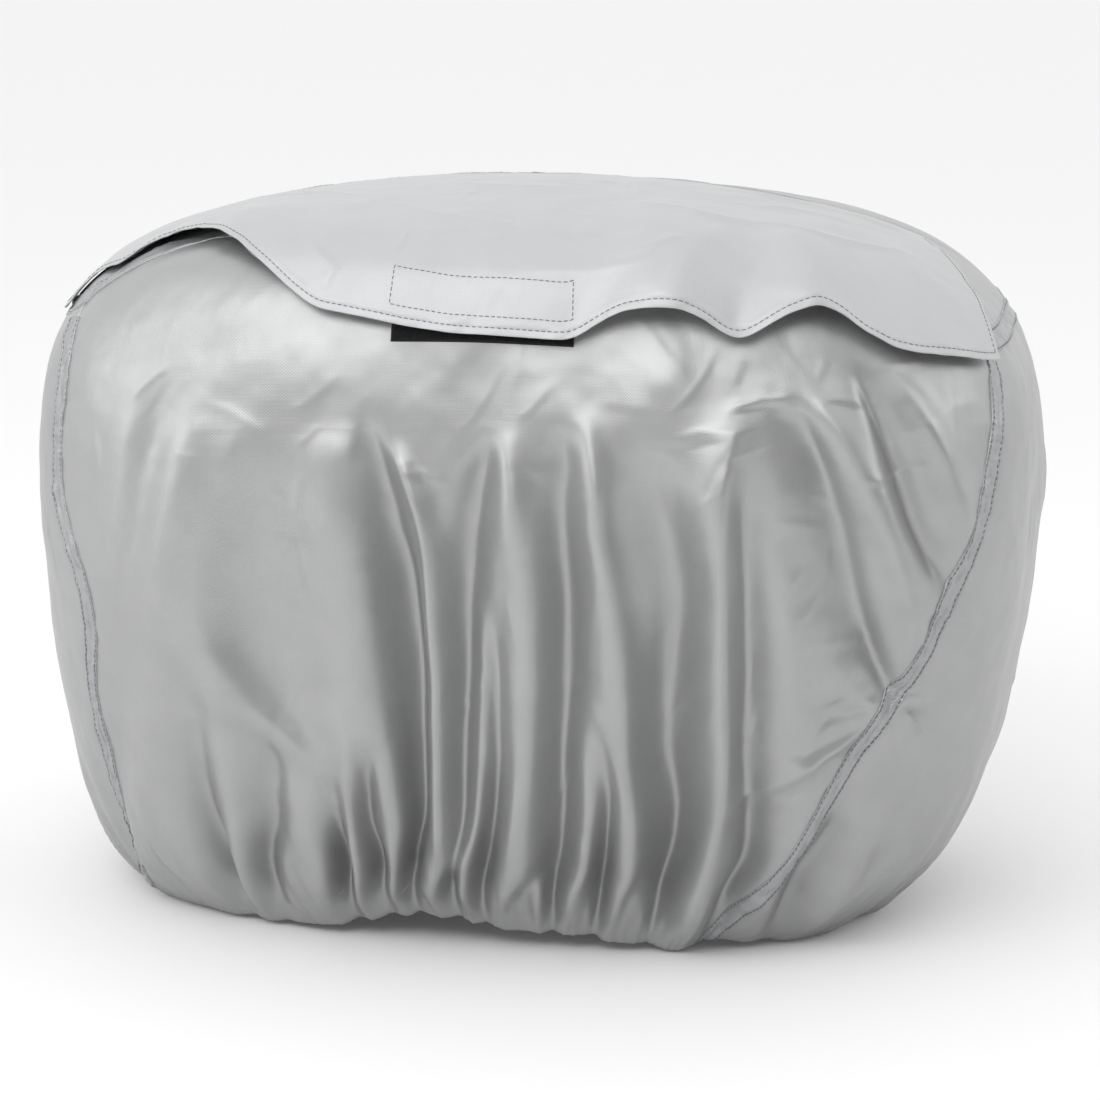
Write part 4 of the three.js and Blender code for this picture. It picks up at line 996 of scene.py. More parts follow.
for key, T in SEAMS.items():
    a, v = seam_path(T, TOP_SEAM_V - 0.006, 0.9, 0.004)
    ob, rows = band(key + "_felled_seam", a, v, [key + "_seam"])
    for tag, row in zip("ab", rows):
        st = stitch_piece(f"{key}_stitches_{tag}", [row], THREAD, seed=11 + ord(tag), radius=0.38, lift=0.16)
        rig.ride(st, "cover"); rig.replaces(st, f"{key}_seam_stitching_{tag}"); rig.slot(st, "thread")

a = np.linspace(0, TAU, 1700, endpoint=False)
ob, rows = band("top_felled_seam", a, top_seam_v(a), ["top_front_seam", "top_right_seam", "top_back_seam", "top_left_seam"], ring=True)
rows = [(np.vstack([p, p[:1]]), np.vstack([n, n[:1]])) for p, n in rows]
st = stitch_piece("top_seam_stitches", rows, THREAD, seed=19)
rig.ride(st, "cover"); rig.replaces(st, "top_front_seam_stitching", "top_right_seam_stitching", "top_back_seam_stitching", "top_left_seam_stitching"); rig.slot(st, "thread")

# ------------------------------------------------------------------ hem casing, its stitches and the elastic
def casing_section(a, pairs):
    """pairs of (inwards, height) round the whole hem."""
    out = []
    for d, h in pairs:
        v = v_at(np.full_like(a, h))
        out.append(cloth(a, v, -d))
    return np.stack(out, 1)


th = np.linspace(0, math.pi / 2, 6)
pairs = [(ROLL + ROLL * math.sin(t), ROLL - ROLL * math.cos(t)) for t in th] + [(10, 8), (10, 11), (9.4, 14), (7.5, 16.5), (4.6, 18.6), (2.2, 20.4), (1.5, 22.5)]
a = np.linspace(0, TAU, 1150, endpoint=False)
P = casing_section(a, pairs)
L = np.concatenate([[0], np.cumsum(np.linalg.norm(np.diff(P[0], axis=0), axis=1))])
C = np.stack([np.broadcast_to((a / TAU * 2 * HALF_GIRTH)[:, None], P.shape[:2]), np.broadcast_to(-L[None], P.shape[:2])], -1)
casing = grid("hem_casing_cloth", P, [SILVER, INNER], C, wrap_u=True, flip=True)
thicken(casing, 0.6, True)
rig.ride(casing, "cover"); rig.replaces(casing, "hem_casing"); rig.slot(casing, "silver_fabric")
a = np.linspace(0, TAU, 2400)
v = v_at(np.full_like(a, 0.5))
hp = cloth_rolled(a, v, 0.1)
st = stitch_piece("hem_stitches", [(hp, unit(skin_normal(a, v) * [0.35, 0.35, 0] - [0, 0, 1.0]))], PALE_THREAD, seed=23)
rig.ride(st, "cover"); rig.replaces(st, "hem_casing_stitching"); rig.slot(st, "thread")
a = np.linspace(0, TAU, 900, endpoint=False)
P = casing_section(a, [(3.9, 3.8), (3.9, 8.5), (4.0, 13.0), (5.4, 13.2), (5.5, 8.5), (5.5, 3.6)])
C = np.stack([np.broadcast_to((a / TAU * 2 * HALF_GIRTH)[:, None], P.shape[:2]), np.broadcast_to(np.array([0, 4.7, 9.2, 10.6, 15, 20])[None], P.shape[:2])], -1)
el = grid("hem_elastic_band", P, [ELASTIC], C, wrap_u=True, wrap_v=True)
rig.ride(el, "cover"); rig.replaces(el, "hem_elastic"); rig.slot(el, "elastic")

# ------------------------------------------------------------------ binding of the opening
def binding():
    th = np.linspace(0, TAU, 760, endpoint=False)
    dx, dy = np.cos(th) * OPEN_HX, np.sin(th) * OPEN_HY
    # inside first: under the panel, round the edge, and over the top
    sec = [(9.5, -1.9), (6, -2.1), (3, -2.1), (1, -2.0), (-0.4, -1.5), (-1.0, -0.6), (-0.9, 0.3), (-0.2, 1.0), (1, 1.25), (4, 1.2), (7.2, 0.9), (8.2, 0.75), (9.2, 1.1), (10.6, 1.1), (11.4, 0.9), (11.7, 0.1)]
    rows = []
    for g, d in sec:
        x, y = opening_edge(dx, dy, g)
        p, n = on_top(x, y, d + 0.18 * value_noise(th * 22, np.full_like(th, g / 5 + 2), 141))
        rows.append(p)
    P = np.stack(rows, 1)
    L = np.concatenate([[0], np.cumsum(np.linalg.norm(np.diff(P[0], axis=0), axis=1))])
    s = np.concatenate([[0], np.cumsum(np.linalg.norm(np.diff(P[:, 8], axis=0), axis=1))])
    C = np.stack([np.broadcast_to(s[:, None], P.shape[:2]), np.broadcast_to(L[None], P.shape[:2])], -1)
    ob = grid("opening_binding_tape", P, [TAPE], C, wrap_u=True, flip=True)
    thicken(ob, 0.5)
    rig.ride(ob, "cover"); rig.replaces(ob, "opening_binding"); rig.slot(ob, "seam_tape")
    x, y = opening_edge(dx, dy, 8.2)
    p, n = on_top(x, y, 0.85)
    st = stitch_piece("opening_binding_stitches", [(np.vstack([p, p[:1]]), np.vstack([n, n[:1]]))], THREAD, seed=29)
    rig.ride(st, "cover"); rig.slot(st, "thread")
binding()

# ------------------------------------------------------------------ the flap over the opening
# hem stations: x, height parameter, clearance from the body
FLAP_HEM = np.array([
    [-270, 0.600, 4], [-264, 0.604, 4], [-257, 0.622, 4], [-250, 0.652, 4.5], [-241, 0.677, 5], [-224, 0.689, 5.5], [-213, 0.716, 6.5],
    [-201.3, 0.739, 7.5], [-186.7, 0.753, 8.5], [-171.3, 0.757, 8.5], [-158.3, 0.745, 8.5], [-144.2, 0.724, 8], [-124.7, 0.676, 7.5],
    [-108.6, 0.635, 6.5], [-98.5, 0.614, 6], [-91, 0.603, 5.5], [-72.4, 0.5935, 5.5], [-43, 0.579, 5], [-16, 0.570, 5], [18.4, 0.568, 5], [44, 0.5665, 5],
    [50, 0.568, 5], [57, 0.578, 6], [67.4, 0.594, 8], [78.2, 0.606, 11], [93.5, 0.611, 13.5], [110, 0.612, 13], [123, 0.603, 10], [133, 0.590, 8], [139.3, 0.5865, 7], [146, 0.592, 8],
    [152.6, 0.603, 9], [164.7, 0.624, 12], [177.9, 0.638, 12.5], [190.8, 0.632, 10], [204.3, 0.614, 7], [219.6, 0.596, 5.5], [232, 0.591, 5], [245, 0.588, 5],
    [270.6, 0.577, 5]], float)
FLAP_REAR, FLAP_FRONT = (-222.0, 220.0), (-270.0, 270.0)


def hem_curve(x):
    """Height parameter and clearance of the flap's hem at x, lightly rounded at its corners."""
    T = FLAP_HEM
    k = np.linspace(-3.2, 3.2, 7)
    return [np.mean([np.interp(x + q, T[:, 0], T[:, c]) for q in k], axis=0) for c in (1, 2)]


FLAP_CREASES = [
    ([(69, 207), (89, 201), (110, 187)], 0.9, 2.6), ([(12, 217), (58, 215), (102, 207)], 0.5, 2.4),
    ([(49, 114), (78, 131), (108, 142), (164, 144), (204, 118), (233, 93)], 1.1, 5.0),
    ([(90, 31), (137, 31), (178, 35), (224, 37)], 0.9, 5.0), ([(-149, 152), (-94, 181), (-36, 187), (13, 179)], 0.7, 4.5),
    ([(-101, 107), (-36, 165), (26, 186), (82, 189)], 0.6, 4.0), ([(187, 75), (217, 125), (235, 158)], 0.8, 4.0),
    ([(-91, 232), (-84, 215), (-108, 193)], 0.9, 4.0), ([(-60, 60), (-20, 90), (30, 96)], 0.5, 3.5), ([(-180, 60), (-120, 84), (-80, 120)], 0.6, 4.0),
    ([(20, 40), (60, 74), (66, 110)], 0.5, 3.5), ([(120, 90), (150, 70), (200, 66)], 0.5, 3.0)]
# broad bends: path, height, half width
FLAP_FOLDS = [
    ([(-163, 173), (-124, 199), (-88, 210), (-30, 216), (18, 217), (63, 213), (103, 204)], 2.0, 13),
    ([(96, 236), (107, 211), (123, 172), (128, 140)], 3.4, 15), ([(138, 240), (141, 219), (146, 192), (150, 170)], -2.6, 12),
    ([(174, 216), (174, 190), (163, 162), (150, 130)], 3.4, 16), ([(48, 252), (61, 230), (73, 219), (80, 205)], -1.8, 11),
    ([(206, 214), (211, 184), (204, 148), (190, 120)], -2.2, 16), ([(246, 196), (249, 147), (228, 117)], 1.6, 14),
    ([(-165, 190), (-150, 150), (-120, 110)], 2.0, 20), ([(-118, 240), (-128, 205), (-150, 170)], -1.2, 10),
    ([(-215, 140), (-190, 110), (-150, 80)], -1.6, 14)]


NEAR_EDGE = np.array([0, 0.9, 1.9, 2.9, 3.8, 4.4, 5.0, 5.6, 6.2, 7.1, 8.2, 9.2, 10.4, 12.0])


def flap_grid(nu, mm_w):
    e = NEAR_EDGE / 490
    u = np.concatenate([e[:-1], np.linspace(e[-1], 1 - e[-1], nu - 2 * (len(e) - 1)), (1 - e[:-1])[::-1]])
    xr = FLAP_REAR[0] + (FLAP_REAR[1] - FLAP_REAR[0]) * u
    xf = FLAP_FRONT[0] + (FLAP_FRONT[1] - FLAP_FRONT[0]) * u
    hv, hc = hem_curve(xf)
    hy = skin(front_angle(xf, hv), hv)[:, 1]
    y0 = HINGE_Y - 4.7
    plan = np.maximum(hy + 25, -60)
    K = 30
    k = (np.arange(K + 1) / K)[None]
    y = y0 + (plan[:, None] - y0) * k
    f = (y0 - y) / (y0 - hy[:, None])
    x = xr[:, None] + (xf - xr)[:, None] * f
    P1, N1 = on_top(x, y, 0.0, relief=False)
    last = P1[:, -1]
    # down the front
    lo, hi = np.full(nu, 0.5), np.ones(nu) * 0.999
    for _ in range(34):
        m = (lo + hi) / 2
        yy = skin(front_angle(last[:, 0], m), m)[:, 1]
        lo, hi = np.where(yy < last[:, 1], m, lo), np.where(yy < last[:, 1], hi, m)
    vs = (lo + hi) / 2
    k = (np.arange(1, 71) / 70)[None]
    v = vs[:, None] + (hv - vs)[:, None] * k
    xx = last[:, None, 0] + (xf - last[:, 0])[:, None] * k
    aa = front_angle(xx, v)
    P2, N2 = skin(aa, v), skin_normal(aa, v)
    P, N = np.concatenate([P1, P2], 1), np.concatenate([N1, N2], 1)
    L = np.concatenate([np.zeros((nu, 1)), np.cumsum(np.linalg.norm(np.diff(P, axis=1), axis=2), axis=1)], 1)
    total = L[:, -1]
    nn = int(total.max() / mm_w)
    nw = nn + len(NEAR_EDGE) - 1
    tail = NEAR_EDGE[:-1][::-1]
    s = np.concatenate([np.linspace(0, 1, nn + 1)[None] * (total[:, None] - NEAR_EDGE[-1]), total[:, None] - tail[None]], 1)
    w = s / total[:, None]
    Q, M = np.zeros((nu, nw + 1, 3)), np.zeros((nu, nw + 1, 3))
    for i in range(nu):
        for c in range(3):
            Q[i, :, c] = np.interp(s[i], L[i], P[i, :, c])
            M[i, :, c] = np.interp(s[i], L[i], N[i, :, c])
    M = unit(M)
    for _ in range(10):
        Q[:, 1:nn] = Q[:, 1:nn] * 0.5 + (Q[:, :nn - 1] + Q[:, 2:nn + 1]) * 0.25
    near = 2.2 + 2.2 * ease(s, 0, 60)
    up = total[:, None] - s
    grow = np.exp(-(up / 75.0) ** 1.6)
    Q = Q + M * (near + (hc[:, None] - 4.4) * grow)[..., None]
    k = len(NEAR_EDGE)
    for _ in range(4):
        Q[k:-k] = Q[k:-k] * 0.5 + (Q[k - 1:-k - 1] + Q[k + 1:-k + 1]) * 0.25
    return Q, s, total, xf, xr, w


def grid_normals(P):
    du, dv = np.gradient(P, axis=0), np.gradient(P, axis=1)
    return unit(np.cross(dv, du) * -1)


def build_flap():
    Q, s, total, xf, xr, w = flap_grid(340, 1.6)
    N = grid_normals(Q)
    if N[170, 40, 2] < 0:
        N = -N
    nu, nw = Q.shape[:2]
    X = xr[:, None] + (xf - xr)[:, None] * w
    Y = s
    up = total[:, None] - s                      # distance from the hem
    D = flap_relief(X, Y, up)
    D *= ease(s, 2, 26)
    Q = Q + N * D[..., None]
    N = grid_normals(Q)
    if N[170, 40, 2] < 0:
        N = -N
    # folded edges: thicker along the hem and sides, drawn in at the stitches
    EL = np.linalg.norm(np.diff(Q, axis=0), axis=2)
    along = np.concatenate([np.zeros((1, nw)), np.cumsum(EL, 0)], 0)
    side = np.minimum(along, along[-1:] - along)
    e = np.minimum(side, up)
    ph = np.where(side < up, s, along)
    E = 0.20 * (1 - ease(e, 6.4, 8.0)) - 0.26 * np.exp(-((e - 3.6) / 0.75) ** 2) * ease(s, 6, 14)
    E += (0.12 * np.cos(TAU * ph / 3.5) * np.exp(-((e - 3.6) / 1.8) ** 2) + 0.45 * value_noise(ph / 8.5, e / 14 + 3, 151) * np.exp(-e / 9) + 0.22 * value_noise(ph / 4.0, e / 8 + 7, 152) * np.exp(-e / 7)) * ease(s, 6, 14)
    Q = Q + N * E[..., None]
    # rows under the seam band behind the hinge line
    ys = np.array([49.0, 47.5, 46, 44.5, 43, 41.6])
    pre = []
    for y in ys:
        p, n = on_top(xr, np.full_like(xr, y), 0.75)
        pre.append(p)
    first = Q[:, :1] * 0.5 + np.stack(pre, 1)[:, -1:] * 0.5
    Q = np.concatenate([np.stack(pre, 1), Q], 1)
    for _ in range(3):
        Q[:, 4:12] = Q[:, 4:12] * 0.5 + (Q[:, 3:11] + Q[:, 5:13]) * 0.25
    nw2 = Q.shape[1]
    s2 = np.concatenate([np.repeat((-(ys - 40.3))[None], nu, 0), s], 1)
    C = np.stack([np.broadcast_to(((xr + xf) / 2)[:, None], (nu, nw2)), s2], -1)
    V = Q.reshape(-1, 3)
    F = quads(nu, nw2)[:, ::-1]
    # hem turned under along the sides and front
    N2 = grid_normals(Q)
    if N2[170, 60, 2] < 0:
        N2 = -N2
    idx = [(0, j) for j in range(12, nw2)] + [(i, nw2 - 1) for i in range(1, nu)] + [(nu - 1, j) for j in range(nw2 - 2, 11, -1)]
    I, J = np.array([q[0] for q in idx]), np.array([q[1] for q in idx])
    Ep, En = Q[I, J], N2[I, J]
    for _ in range(3):
        En[1:-1] = unit(En[1:-1] * 0.5 + (En[:-2] + En[2:]) * 0.25)
    T = unit(np.gradient(Ep, axis=0))
    for _ in range(2):
        T[1:-1] = unit(T[1:-1] * 0.5 + (T[:-2] + T[2:]) * 0.25)
    inward = unit(np.cross(En, T))
    centre = Q[nu // 2, nw2 // 2]
    if np.mean(np.sum(inward * (centre - Ep), -1)) < 0:
        inward = -inward
    r0 = 0.42
    sec = []
    for t in (60, 30, 0, -30, -60, -90):
        t = math.radians(t)
        sec.append(Ep - En * r0 + En * r0 * math.sin(t) - inward * r0 * math.cos(t))
    # the turned strip lies under the cloth itself, mitred at the corners
    for k in (2, 3, 4, 6, 8, 9, 10):
        ik, jk = np.clip(I, k, nu - 1 - k), np.minimum(J, nw2 - 1 - k)
        q, n = Q[ik, jk], N2[ik, jk]
        depth = 2 * r0 + 0.05 + 0.55 * min(1.0, NEAR_EDGE[k] / 2.9)
        sec.append(q - n * depth)
    S = np.stack(sec, 1)
    n0 = len(V)
    ne, ns = S.shape[:2]
    F2 = quads(ne, ns, start=n0)
    edge_ids = I * nw2 + J
    F3 = np.stack([edge_ids[:-1], edge_ids[1:], n0 + np.arange(1, ne) * ns, n0 + np.arange(ne - 1) * ns], -1)
    elen = np.concatenate([[0], np.cumsum(np.linalg.norm(np.diff(Ep, axis=0), axis=1))])
    C2 = np.stack([np.broadcast_to(elen[:, None], (ne, ns)), np.broadcast_to(np.arange(ns)[None] * 1.2, (ne, ns))], -1)
    V = np.concatenate([V, S.reshape(-1, 3)])
    C = np.concatenate([C.reshape(-1, 2), C2.reshape(-1, 2)])
    # the turned edge winds as the sheet does
    a0, b0 = F3[ne // 2][:2]
    # the flap takes the lighter copy of the silver fabric, painted light for its top-lit brightness
    ob = make("top_flap_cloth", V, np.concatenate([F, F3, F2]), [FLAP_PAINTED_LIGHTER_SILVER, INNER], C)
    import bmesh
    bm = bmesh.new(); bm.from_mesh(ob.data)
    bmesh.ops.recalc_face_normals(bm, faces=bm.faces)
    bm.verts.ensure_lookup_table()
    bmesh.ops.remove_doubles(bm, verts=list(bm.verts)[n0:], dist=2e-6)
    bm.faces.ensure_lookup_table()
    k = (nu // 2) * (nw2 - 1) + nw2 // 3
    if bm.faces[k].normal.z < 0:
        bmesh.ops.reverse_faces(bm, faces=bm.faces)
    bm.to_mesh(ob.data); bm.free()
    thicken(ob, 0.6, True)
    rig.blend(ob, "cover", "flap", start=(0, 0.0415, 0.4265), end=(0, 0.0300, 0.4265))
    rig.replaces(ob, "top_flap")
    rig.slot(ob, "silver_fabric")
    # stitches round the hem
    ids = [(6, j) for j in range(nw2 - 1)]
    def inset(dist):
        """Path round the flap at that distance from its edge."""
        pts, nrm = [], []
        per = []
        for j in range(14, nw2):
            if up[0, max(j - 6, 0)] > dist:
                per.append((0, j))
        path = []
        def along_row(i0, i1, jf):
            pass
        # left side
        for j in range(14, nw2):
            if total[0] - s2[0, j] < dist:
                break
            i = np.interp(dist, along2[:, j], np.arange(nu))
            path.append((i, j))
        for i in range(nu):
            jj = np.interp(total[i] - dist, s2[i], np.arange(nw2))
            j = int(round(jj))
            if along2[i, j] < dist or along2[-1, j] - along2[i, j] < dist:
                continue
            path.append((i, jj))
        for j in range(nw2 - 1, 13, -1):
            if total[-1] - s2[-1, j] < dist:
                continue
            i = np.interp(along2[-1, j] - dist, along2[:, j], np.arange(nu))
            path.append((i, j))
        path = np.array(path, float)
        return sample(path)
    along2 = np.concatenate([np.zeros((1, nw2)), np.cumsum(np.linalg.norm(np.diff(Q, axis=0), axis=2), 0)], 0)

    def sample(path):
        i, j = path[:, 0], path[:, 1]
        i0, j0 = np.clip(i.astype(int), 0, nu - 2), np.clip(j.astype(int), 0, nw2 - 2)
        fi, fj = (i - i0)[:, None], (j - j0)[:, None]
        mix = lambda G: (G[i0, j0] * (1 - fi) + G[i0 + 1, j0] * fi) * (1 - fj) + (G[i0, j0 + 1] * (1 - fi) + G[i0 + 1, j0 + 1] * fi) * fj
        return mix(Q), unit(mix(N2))
    p, n = inset(3.6)
    st = stitch_piece("flap_hem_stitches", [(p, n)], PALE_THREAD, seed=31, lift=0.10, radius=0.26)
    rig.ride(st, "flap"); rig.replaces(st, "flap_hem_stitching"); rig.slot(st, "thread")
    # the box of stitches that holds the hook strip
    def at(x, d):
        """Grid position at hem x and distance d from the hem."""
        i = np.interp(x, xf, np.arange(nu))
        k = int(round(float(i)))
        return i, np.interp(total[k] - d, s2[k], np.arange(nw2))
    box = []
    lo_d, hi_d = 9.5, 30.0
    n1 = 60
    for x in np.linspace(-51, 51, n1): box.append(at(x, lo_d))
    for d in np.linspace(lo_d, hi_d, 14)[1:]: box.append(at(51, d))
    for x in np.linspace(51, -51, n1)[1:]: box.append(at(x, hi_d))
    for d in np.linspace(hi_d, lo_d, 14)[1:]: box.append(at(-51, d))
    p, n = sample(np.array(box, float))
    st = stitch_piece("hook_strip_stitches", [(p, n)], PALE_THREAD, seed=37, lift=0.06, pitch=3.3, radius=0.26)
    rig.ride(st, "flap"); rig.replaces(st, "hook_strip_stitching"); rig.slot(st, "thread")
    # hook strip under the flap
    xs, ds = np.linspace(-50, 50, 120), np.linspace(10.5, 29.5, 24)
    path = np.array([at(x, d) for x in xs for d in ds], float)
    p, n = sample(path)
    p = p - n * 0.75
    p, n = p.reshape(120, 24, 3), n.reshape(120, 24, 3)
    build_hooks(p, n)
    return Q, N2


def build_hooks(P, N):
    """Hook tape: a woven base with rows of small bent hooks, facing down."""
    nu, nv = P.shape[:2]
    B0 = P - N * 0.6
    top, bot = P, B0
    V = np.concatenate([top.reshape(-1, 3), bot.reshape(-1, 3)])
    n = nu * nv
    F = [quads(nu, nv), quads(nu, nv, start=n)[:, ::-1]]
    ring = [i * nv for i in range(nu)] + [(nu - 1) * nv + j for j in range(1, nv)] + [i * nv + nv - 1 for i in range(nu - 2, -1, -1)] + [j for j in range(nv - 2, 0, -1)]
    ring = np.array(ring)
    nx = np.roll(ring, -1)
    F.append(np.stack([ring, ring + n, nx + n, nx], -1))
    C = np.stack(np.meshgrid(np.linspace(-50, 50, nu), np.linspace(0, 19, nv), indexing="ij"), -1).reshape(-1, 2)
    C = np.concatenate([C, C + 3])
    off = len(V)
    VV, FF, CC = [V], F, [C]
    r = np.random.default_rng(43)
    T = unit(np.gradient(P, axis=0)); W = unit(np.gradient(P, axis=1))
    k = 0
    for i in range(2, nu - 2, 2):
        for j in range(2, nv - 2, 2):
            b, nn, t = B0[i, j], -N[i, j], T[i, j] * (1 if j % 4 else -1)
            w = W[i, j]
            path = [b, b + nn * 0.7, b + nn * 1.15 + t * 0.15, b + nn * 1.25 + t * 0.5, b + nn * 0.95 + t * 0.8]
            rad = [0.16, 0.13, 0.12, 0.12, 0.08]
            sec = []
            for q, rr in zip(path, rad):
                sec += [q + w * rr, q + t * rr, q - w * rr, q - t * rr]
            VV.append(np.array(sec))
            f = []
            for a in range(4):
                for c in range(4):
                    d = (c + 1) % 4
                    f.append((off + a * 4 + c, off + a * 4 + d, off + a * 4 + 4 + d, off + a * 4 + 4 + c))
            f.append((off + 16, off + 17, off + 18, off + 19))
            FF.append(np.array(f))
            CC.append(np.tile([[i * 0.84, j * 0.8]], (20, 1)))
            off += 20
    ob = make("hook_strip_tape", np.concatenate(VV), np.concatenate(FF), [HOOKS], np.concatenate(CC))
    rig.ride(ob, "flap"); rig.replaces(ob, "hook_strip"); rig.slot(ob, "hook_and_loop")


def flap_relief(X, Y, up):
    """Folds and creases of the flap, outwards in mm. X across, Y from the hinge line, up from the hem."""
    D = 1.1 * fbm(X / 80, Y / 70, 161, 3) + 0.3 * fbm(X / 20, Y / 24, 171, 2)
    D += creases(X, Y, random_creases(45, 26, (-240, 240), (40, 250), 20, 50, (0.25, 0.7), (2, 4.5), (18, 60)))
    D += 2.0 * creases(X, Y, FLAP_CREASES)
    for path, amp, half in FLAP_FOLDS:
        r, _, t = polyline(X, Y, path)
        D += amp * np.exp(-(r / half) ** 1.7) * (0.25 + 0.75 * ease(t, 0, 0.12)) * (1 - ease(t, 0.6, 1.0) * 0.85)
    return D


FLAP_Q, FLAP_N = build_flap()

# rear seam of the flap, on the cover
def rear_band():
    x = np.linspace(-222, 220, 500)
    q = np.array([-1.0, -0.99, -0.93, -0.84, -0.74, -0.64, -0.45, -0.2, 0.0, 0.2, 0.45, 0.64, 0.74, 0.84, 0.93, 0.99, 1.0]) * 4.6
    edge = np.where(np.abs(q) > 0.985 * 4.6, 0.25, 1.0)
    edge = np.where(np.abs(q) > 0.998 * 4.6, -0.1, edge)
    dip = -0.6 * np.exp(-((np.abs(q) - 3.4) / 0.55) ** 2)
    XX, YY = np.meshgrid(x, HINGE_Y + q, indexing="ij")
    L = XX + 222
    off = 1.75 * edge[None] + dip[None] + 0.15 * np.cos(TAU * L / 3.5) * np.exp(-((np.abs(q)[None] - 3.4) / 1.6) ** 2) \
        + (0.3 * value_noise(L / 9, q[None] / 7 + 2, 181) + 0.2 * value_noise(L / 4.2, q[None] / 3 + 2, 182)) * (edge[None] > 0.5)
    P, N = on_top(XX, YY, off)
    C = np.stack([np.broadcast_to(q[None], L.shape), L], -1)
    ob = grid("flap_rear_felled_seam", P, [TAPE], C)
    thicken(ob, 0.7)
    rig.ride(ob, "cover"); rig.replaces(ob, "flap_rear_seam"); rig.slot(ob, "seam_tape")
    for tag, s in (("a", -1), ("b", 1)):
        i = np.argmin(np.abs(q - s * 3.4))
        st = stitch_piece(f"flap_rear_stitches_{tag}", [(P[:, i], N[:, i])], THREAD, seed=41 + s)
        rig.ride(st, "cover"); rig.replaces(st, "flap_rear_stitching_" + tag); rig.slot(st, "thread")
rear_band()

# loop strip on the front panel
def loop_strip():
    nu, nv = 150, 34
    x = np.linspace(-51, 51, nu)[:, None] * np.ones((1, nv))
    v = np.linspace(0.560, 0.622, nv)[None] * np.ones((nu, 1))
    a = front_angle(x, v)
    r = np.random.default_rng(47)
    edge = np.minimum(np.minimum(np.arange(nu), nu - 1 - np.arange(nu))[:, None], np.minimum(np.arange(nv), nv - 1 - np.arange(nv))[None])
    fuzz = r.uniform(-0.32, 0.32, (nu, nv)) * (edge > 1)
    off = np.where(edge == 0, 0.1, np.where(edge == 1, 1.1, 1.5)) + fuzz
    P = cloth(a, v, off)
    C = np.stack([x, v * 700], -1)
    ob = grid("loop_strip_tape", P, [LOOPS], C)
    thicken(ob, 0.9)
    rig.ride(ob, "cover"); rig.replaces(ob, "loop_strip"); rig.slot(ob, "hook_and_loop")
loop_strip()

# ------------------------------------------------------------------ cloth facts, in metres
def declare_sheets():
    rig.sheet(front, flat=(0.66, 0.46), held="gathered", area=0.25)
    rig.sheet(backp, flat=(0.66, 0.44), held="gathered", area=0.23)
    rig.sheet(right, flat=(0.36, 0.42), held="stretched", area=0.13)
    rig.sheet(left, flat=(0.36, 0.42), held="stretched", area=0.13)
    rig.sheet(top, flat=(0.56, 0.38), held="stretched", area=0.15)
    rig.sheet(bpy.data.objects["top_flap_cloth"], flat=(0.55, 0.28), held="draped", area=0.15)
try:
    declare_sheets()
except Exception as e:
    print("SHEETS", e)
    raise

# ------------------------------------------------------------------ floor and light
def floor():
    me = bpy.data.meshes.new("floor")
    s = 30.0
    me.from_pydata([(-s, -s, 0), (s, -s, 0), (s, s, 0), (-s, s, 0)], [], [(0, 1, 2, 3)])
    ob = bpy.data.objects.new("floor", me)
    bpy.context.scene.collection.objects.link(ob)
    m, t, b = material("floor_white", (0.93, 0.93, 0.93), 0.0, 0.9, Specular_IOR_Level=0.2)
    n = node(t, "ShaderNodeTexNoise")
    n.inputs["Scale"].default_value = 3.0
    mix = node(t, "ShaderNodeMix", data_type="RGBA")
    t.links.new(n.outputs["Fac"], mix.inputs[0])
    mix.inputs[6].default_value = (0.80, 0.80, 0.80, 1)
    mix.inputs[7].default_value = (0.82, 0.82, 0.82, 1)
    t.links.new(mix.outputs[2], b.inputs["Base Color"])
    b.inputs["Emission Color"].default_value = (1, 1, 1, 1)
    b.inputs["Emission Strength"].default_value = 0.06
    me.materials.append(m)
    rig.stage(ob)
floor()


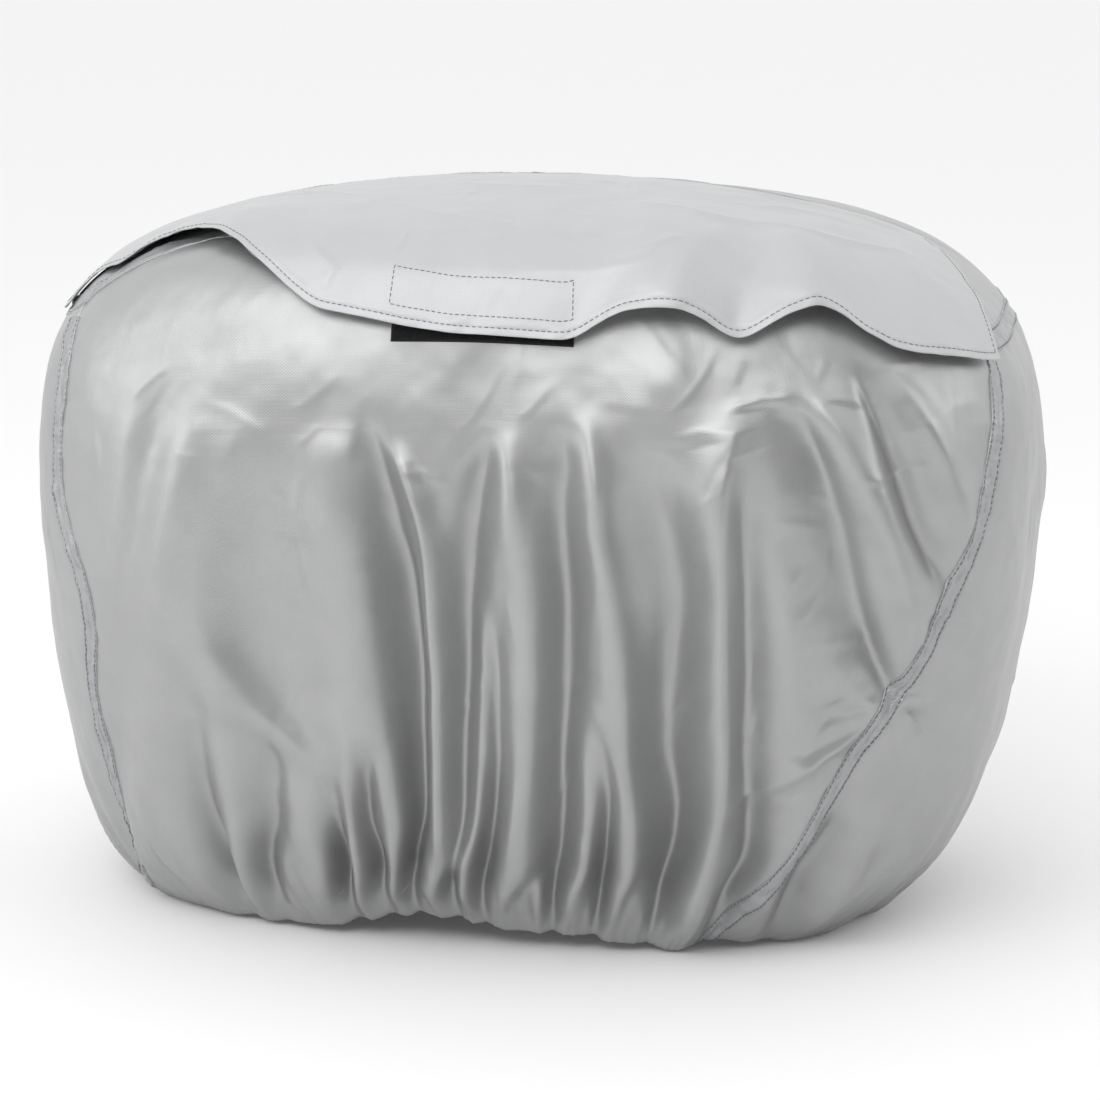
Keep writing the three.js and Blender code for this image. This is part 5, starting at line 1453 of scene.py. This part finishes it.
def area(name, loc, at, size, power, colour=(1, 1, 1), size_y=None):
    l = bpy.data.lights.new(name, "AREA")
    l.shape = "RECTANGLE"
    l.size, l.size_y = size, size_y or size
    l.energy = power
    l.color = colour
    ob = bpy.data.objects.new(name, l)
    ob.location = loc
    ob.rotation_mode = "QUATERNION"
    ob.rotation_quaternion = (Vector(at) - Vector(loc)).to_track_quat("-Z", "Y")
    bpy.context.scene.collection.objects.link(ob)


def sky():
    """White light from all round: strong from above, weak from the sides, weakest from the right."""
    w = bpy.data.worlds.new("studio")
    w.use_nodes = True
    t = w.node_tree
    bg = t.nodes["Background"]
    tc = node(t, "ShaderNodeTexCoord")
    sep = node(t, "ShaderNodeSeparateXYZ")
    t.links.new(tc.outputs["Generated"], sep.inputs[0])
    # brightest above and behind, weaker to the right, weakest low in front
    q = maths(t, "ADD", maths(t, "MULTIPLY", sep.outputs[0], -0.26), maths(t, "ADD", maths(t, "MULTIPLY", sep.outputs[1], 0.50), maths(t, "MULTIPLY", sep.outputs[2], 0.83)))
    m = node(t, "ShaderNodeMapRange", interpolation_type="SMOOTHSTEP")
    t.links.new(q, m.inputs[0])
    m.inputs[1].default_value, m.inputs[2].default_value = -0.46, 0.34
    m.inputs[3].default_value, m.inputs[4].default_value = 0.06, 1.12
    t.links.new(m.outputs[0], bg.inputs["Strength"])
    bg.inputs["Color"].default_value = (1, 1, 1, 1)
    bpy.context.scene.world = w
sky()
area("front", (-0.45, -2.0, 1.75), (0, 0, 0.25), 2.2, 22, (1.0, 1.0, 1.0), 1.0)
area("key", (-2.3, -1.3, 1.0), (0, 0, 0.2), 1.2, 9, (1.0, 1.0, 1.0), 1.2)
area("side", (2.3, 0.3, 1.3), (0.1, 0, 0.25), 1.0, 5, (1.0, 1.0, 1.0), 1.0)
bpy.context.scene.view_settings.view_transform = "Standard"
bpy.context.scene.view_settings.look = "None"

new_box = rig.bounds()
with open("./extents.json", "w") as f:
    json.dump({"cad": [[float(c) for c in p] for p in cad_box], "visual": [[float(c) for c in p] for p in new_box]}, f)
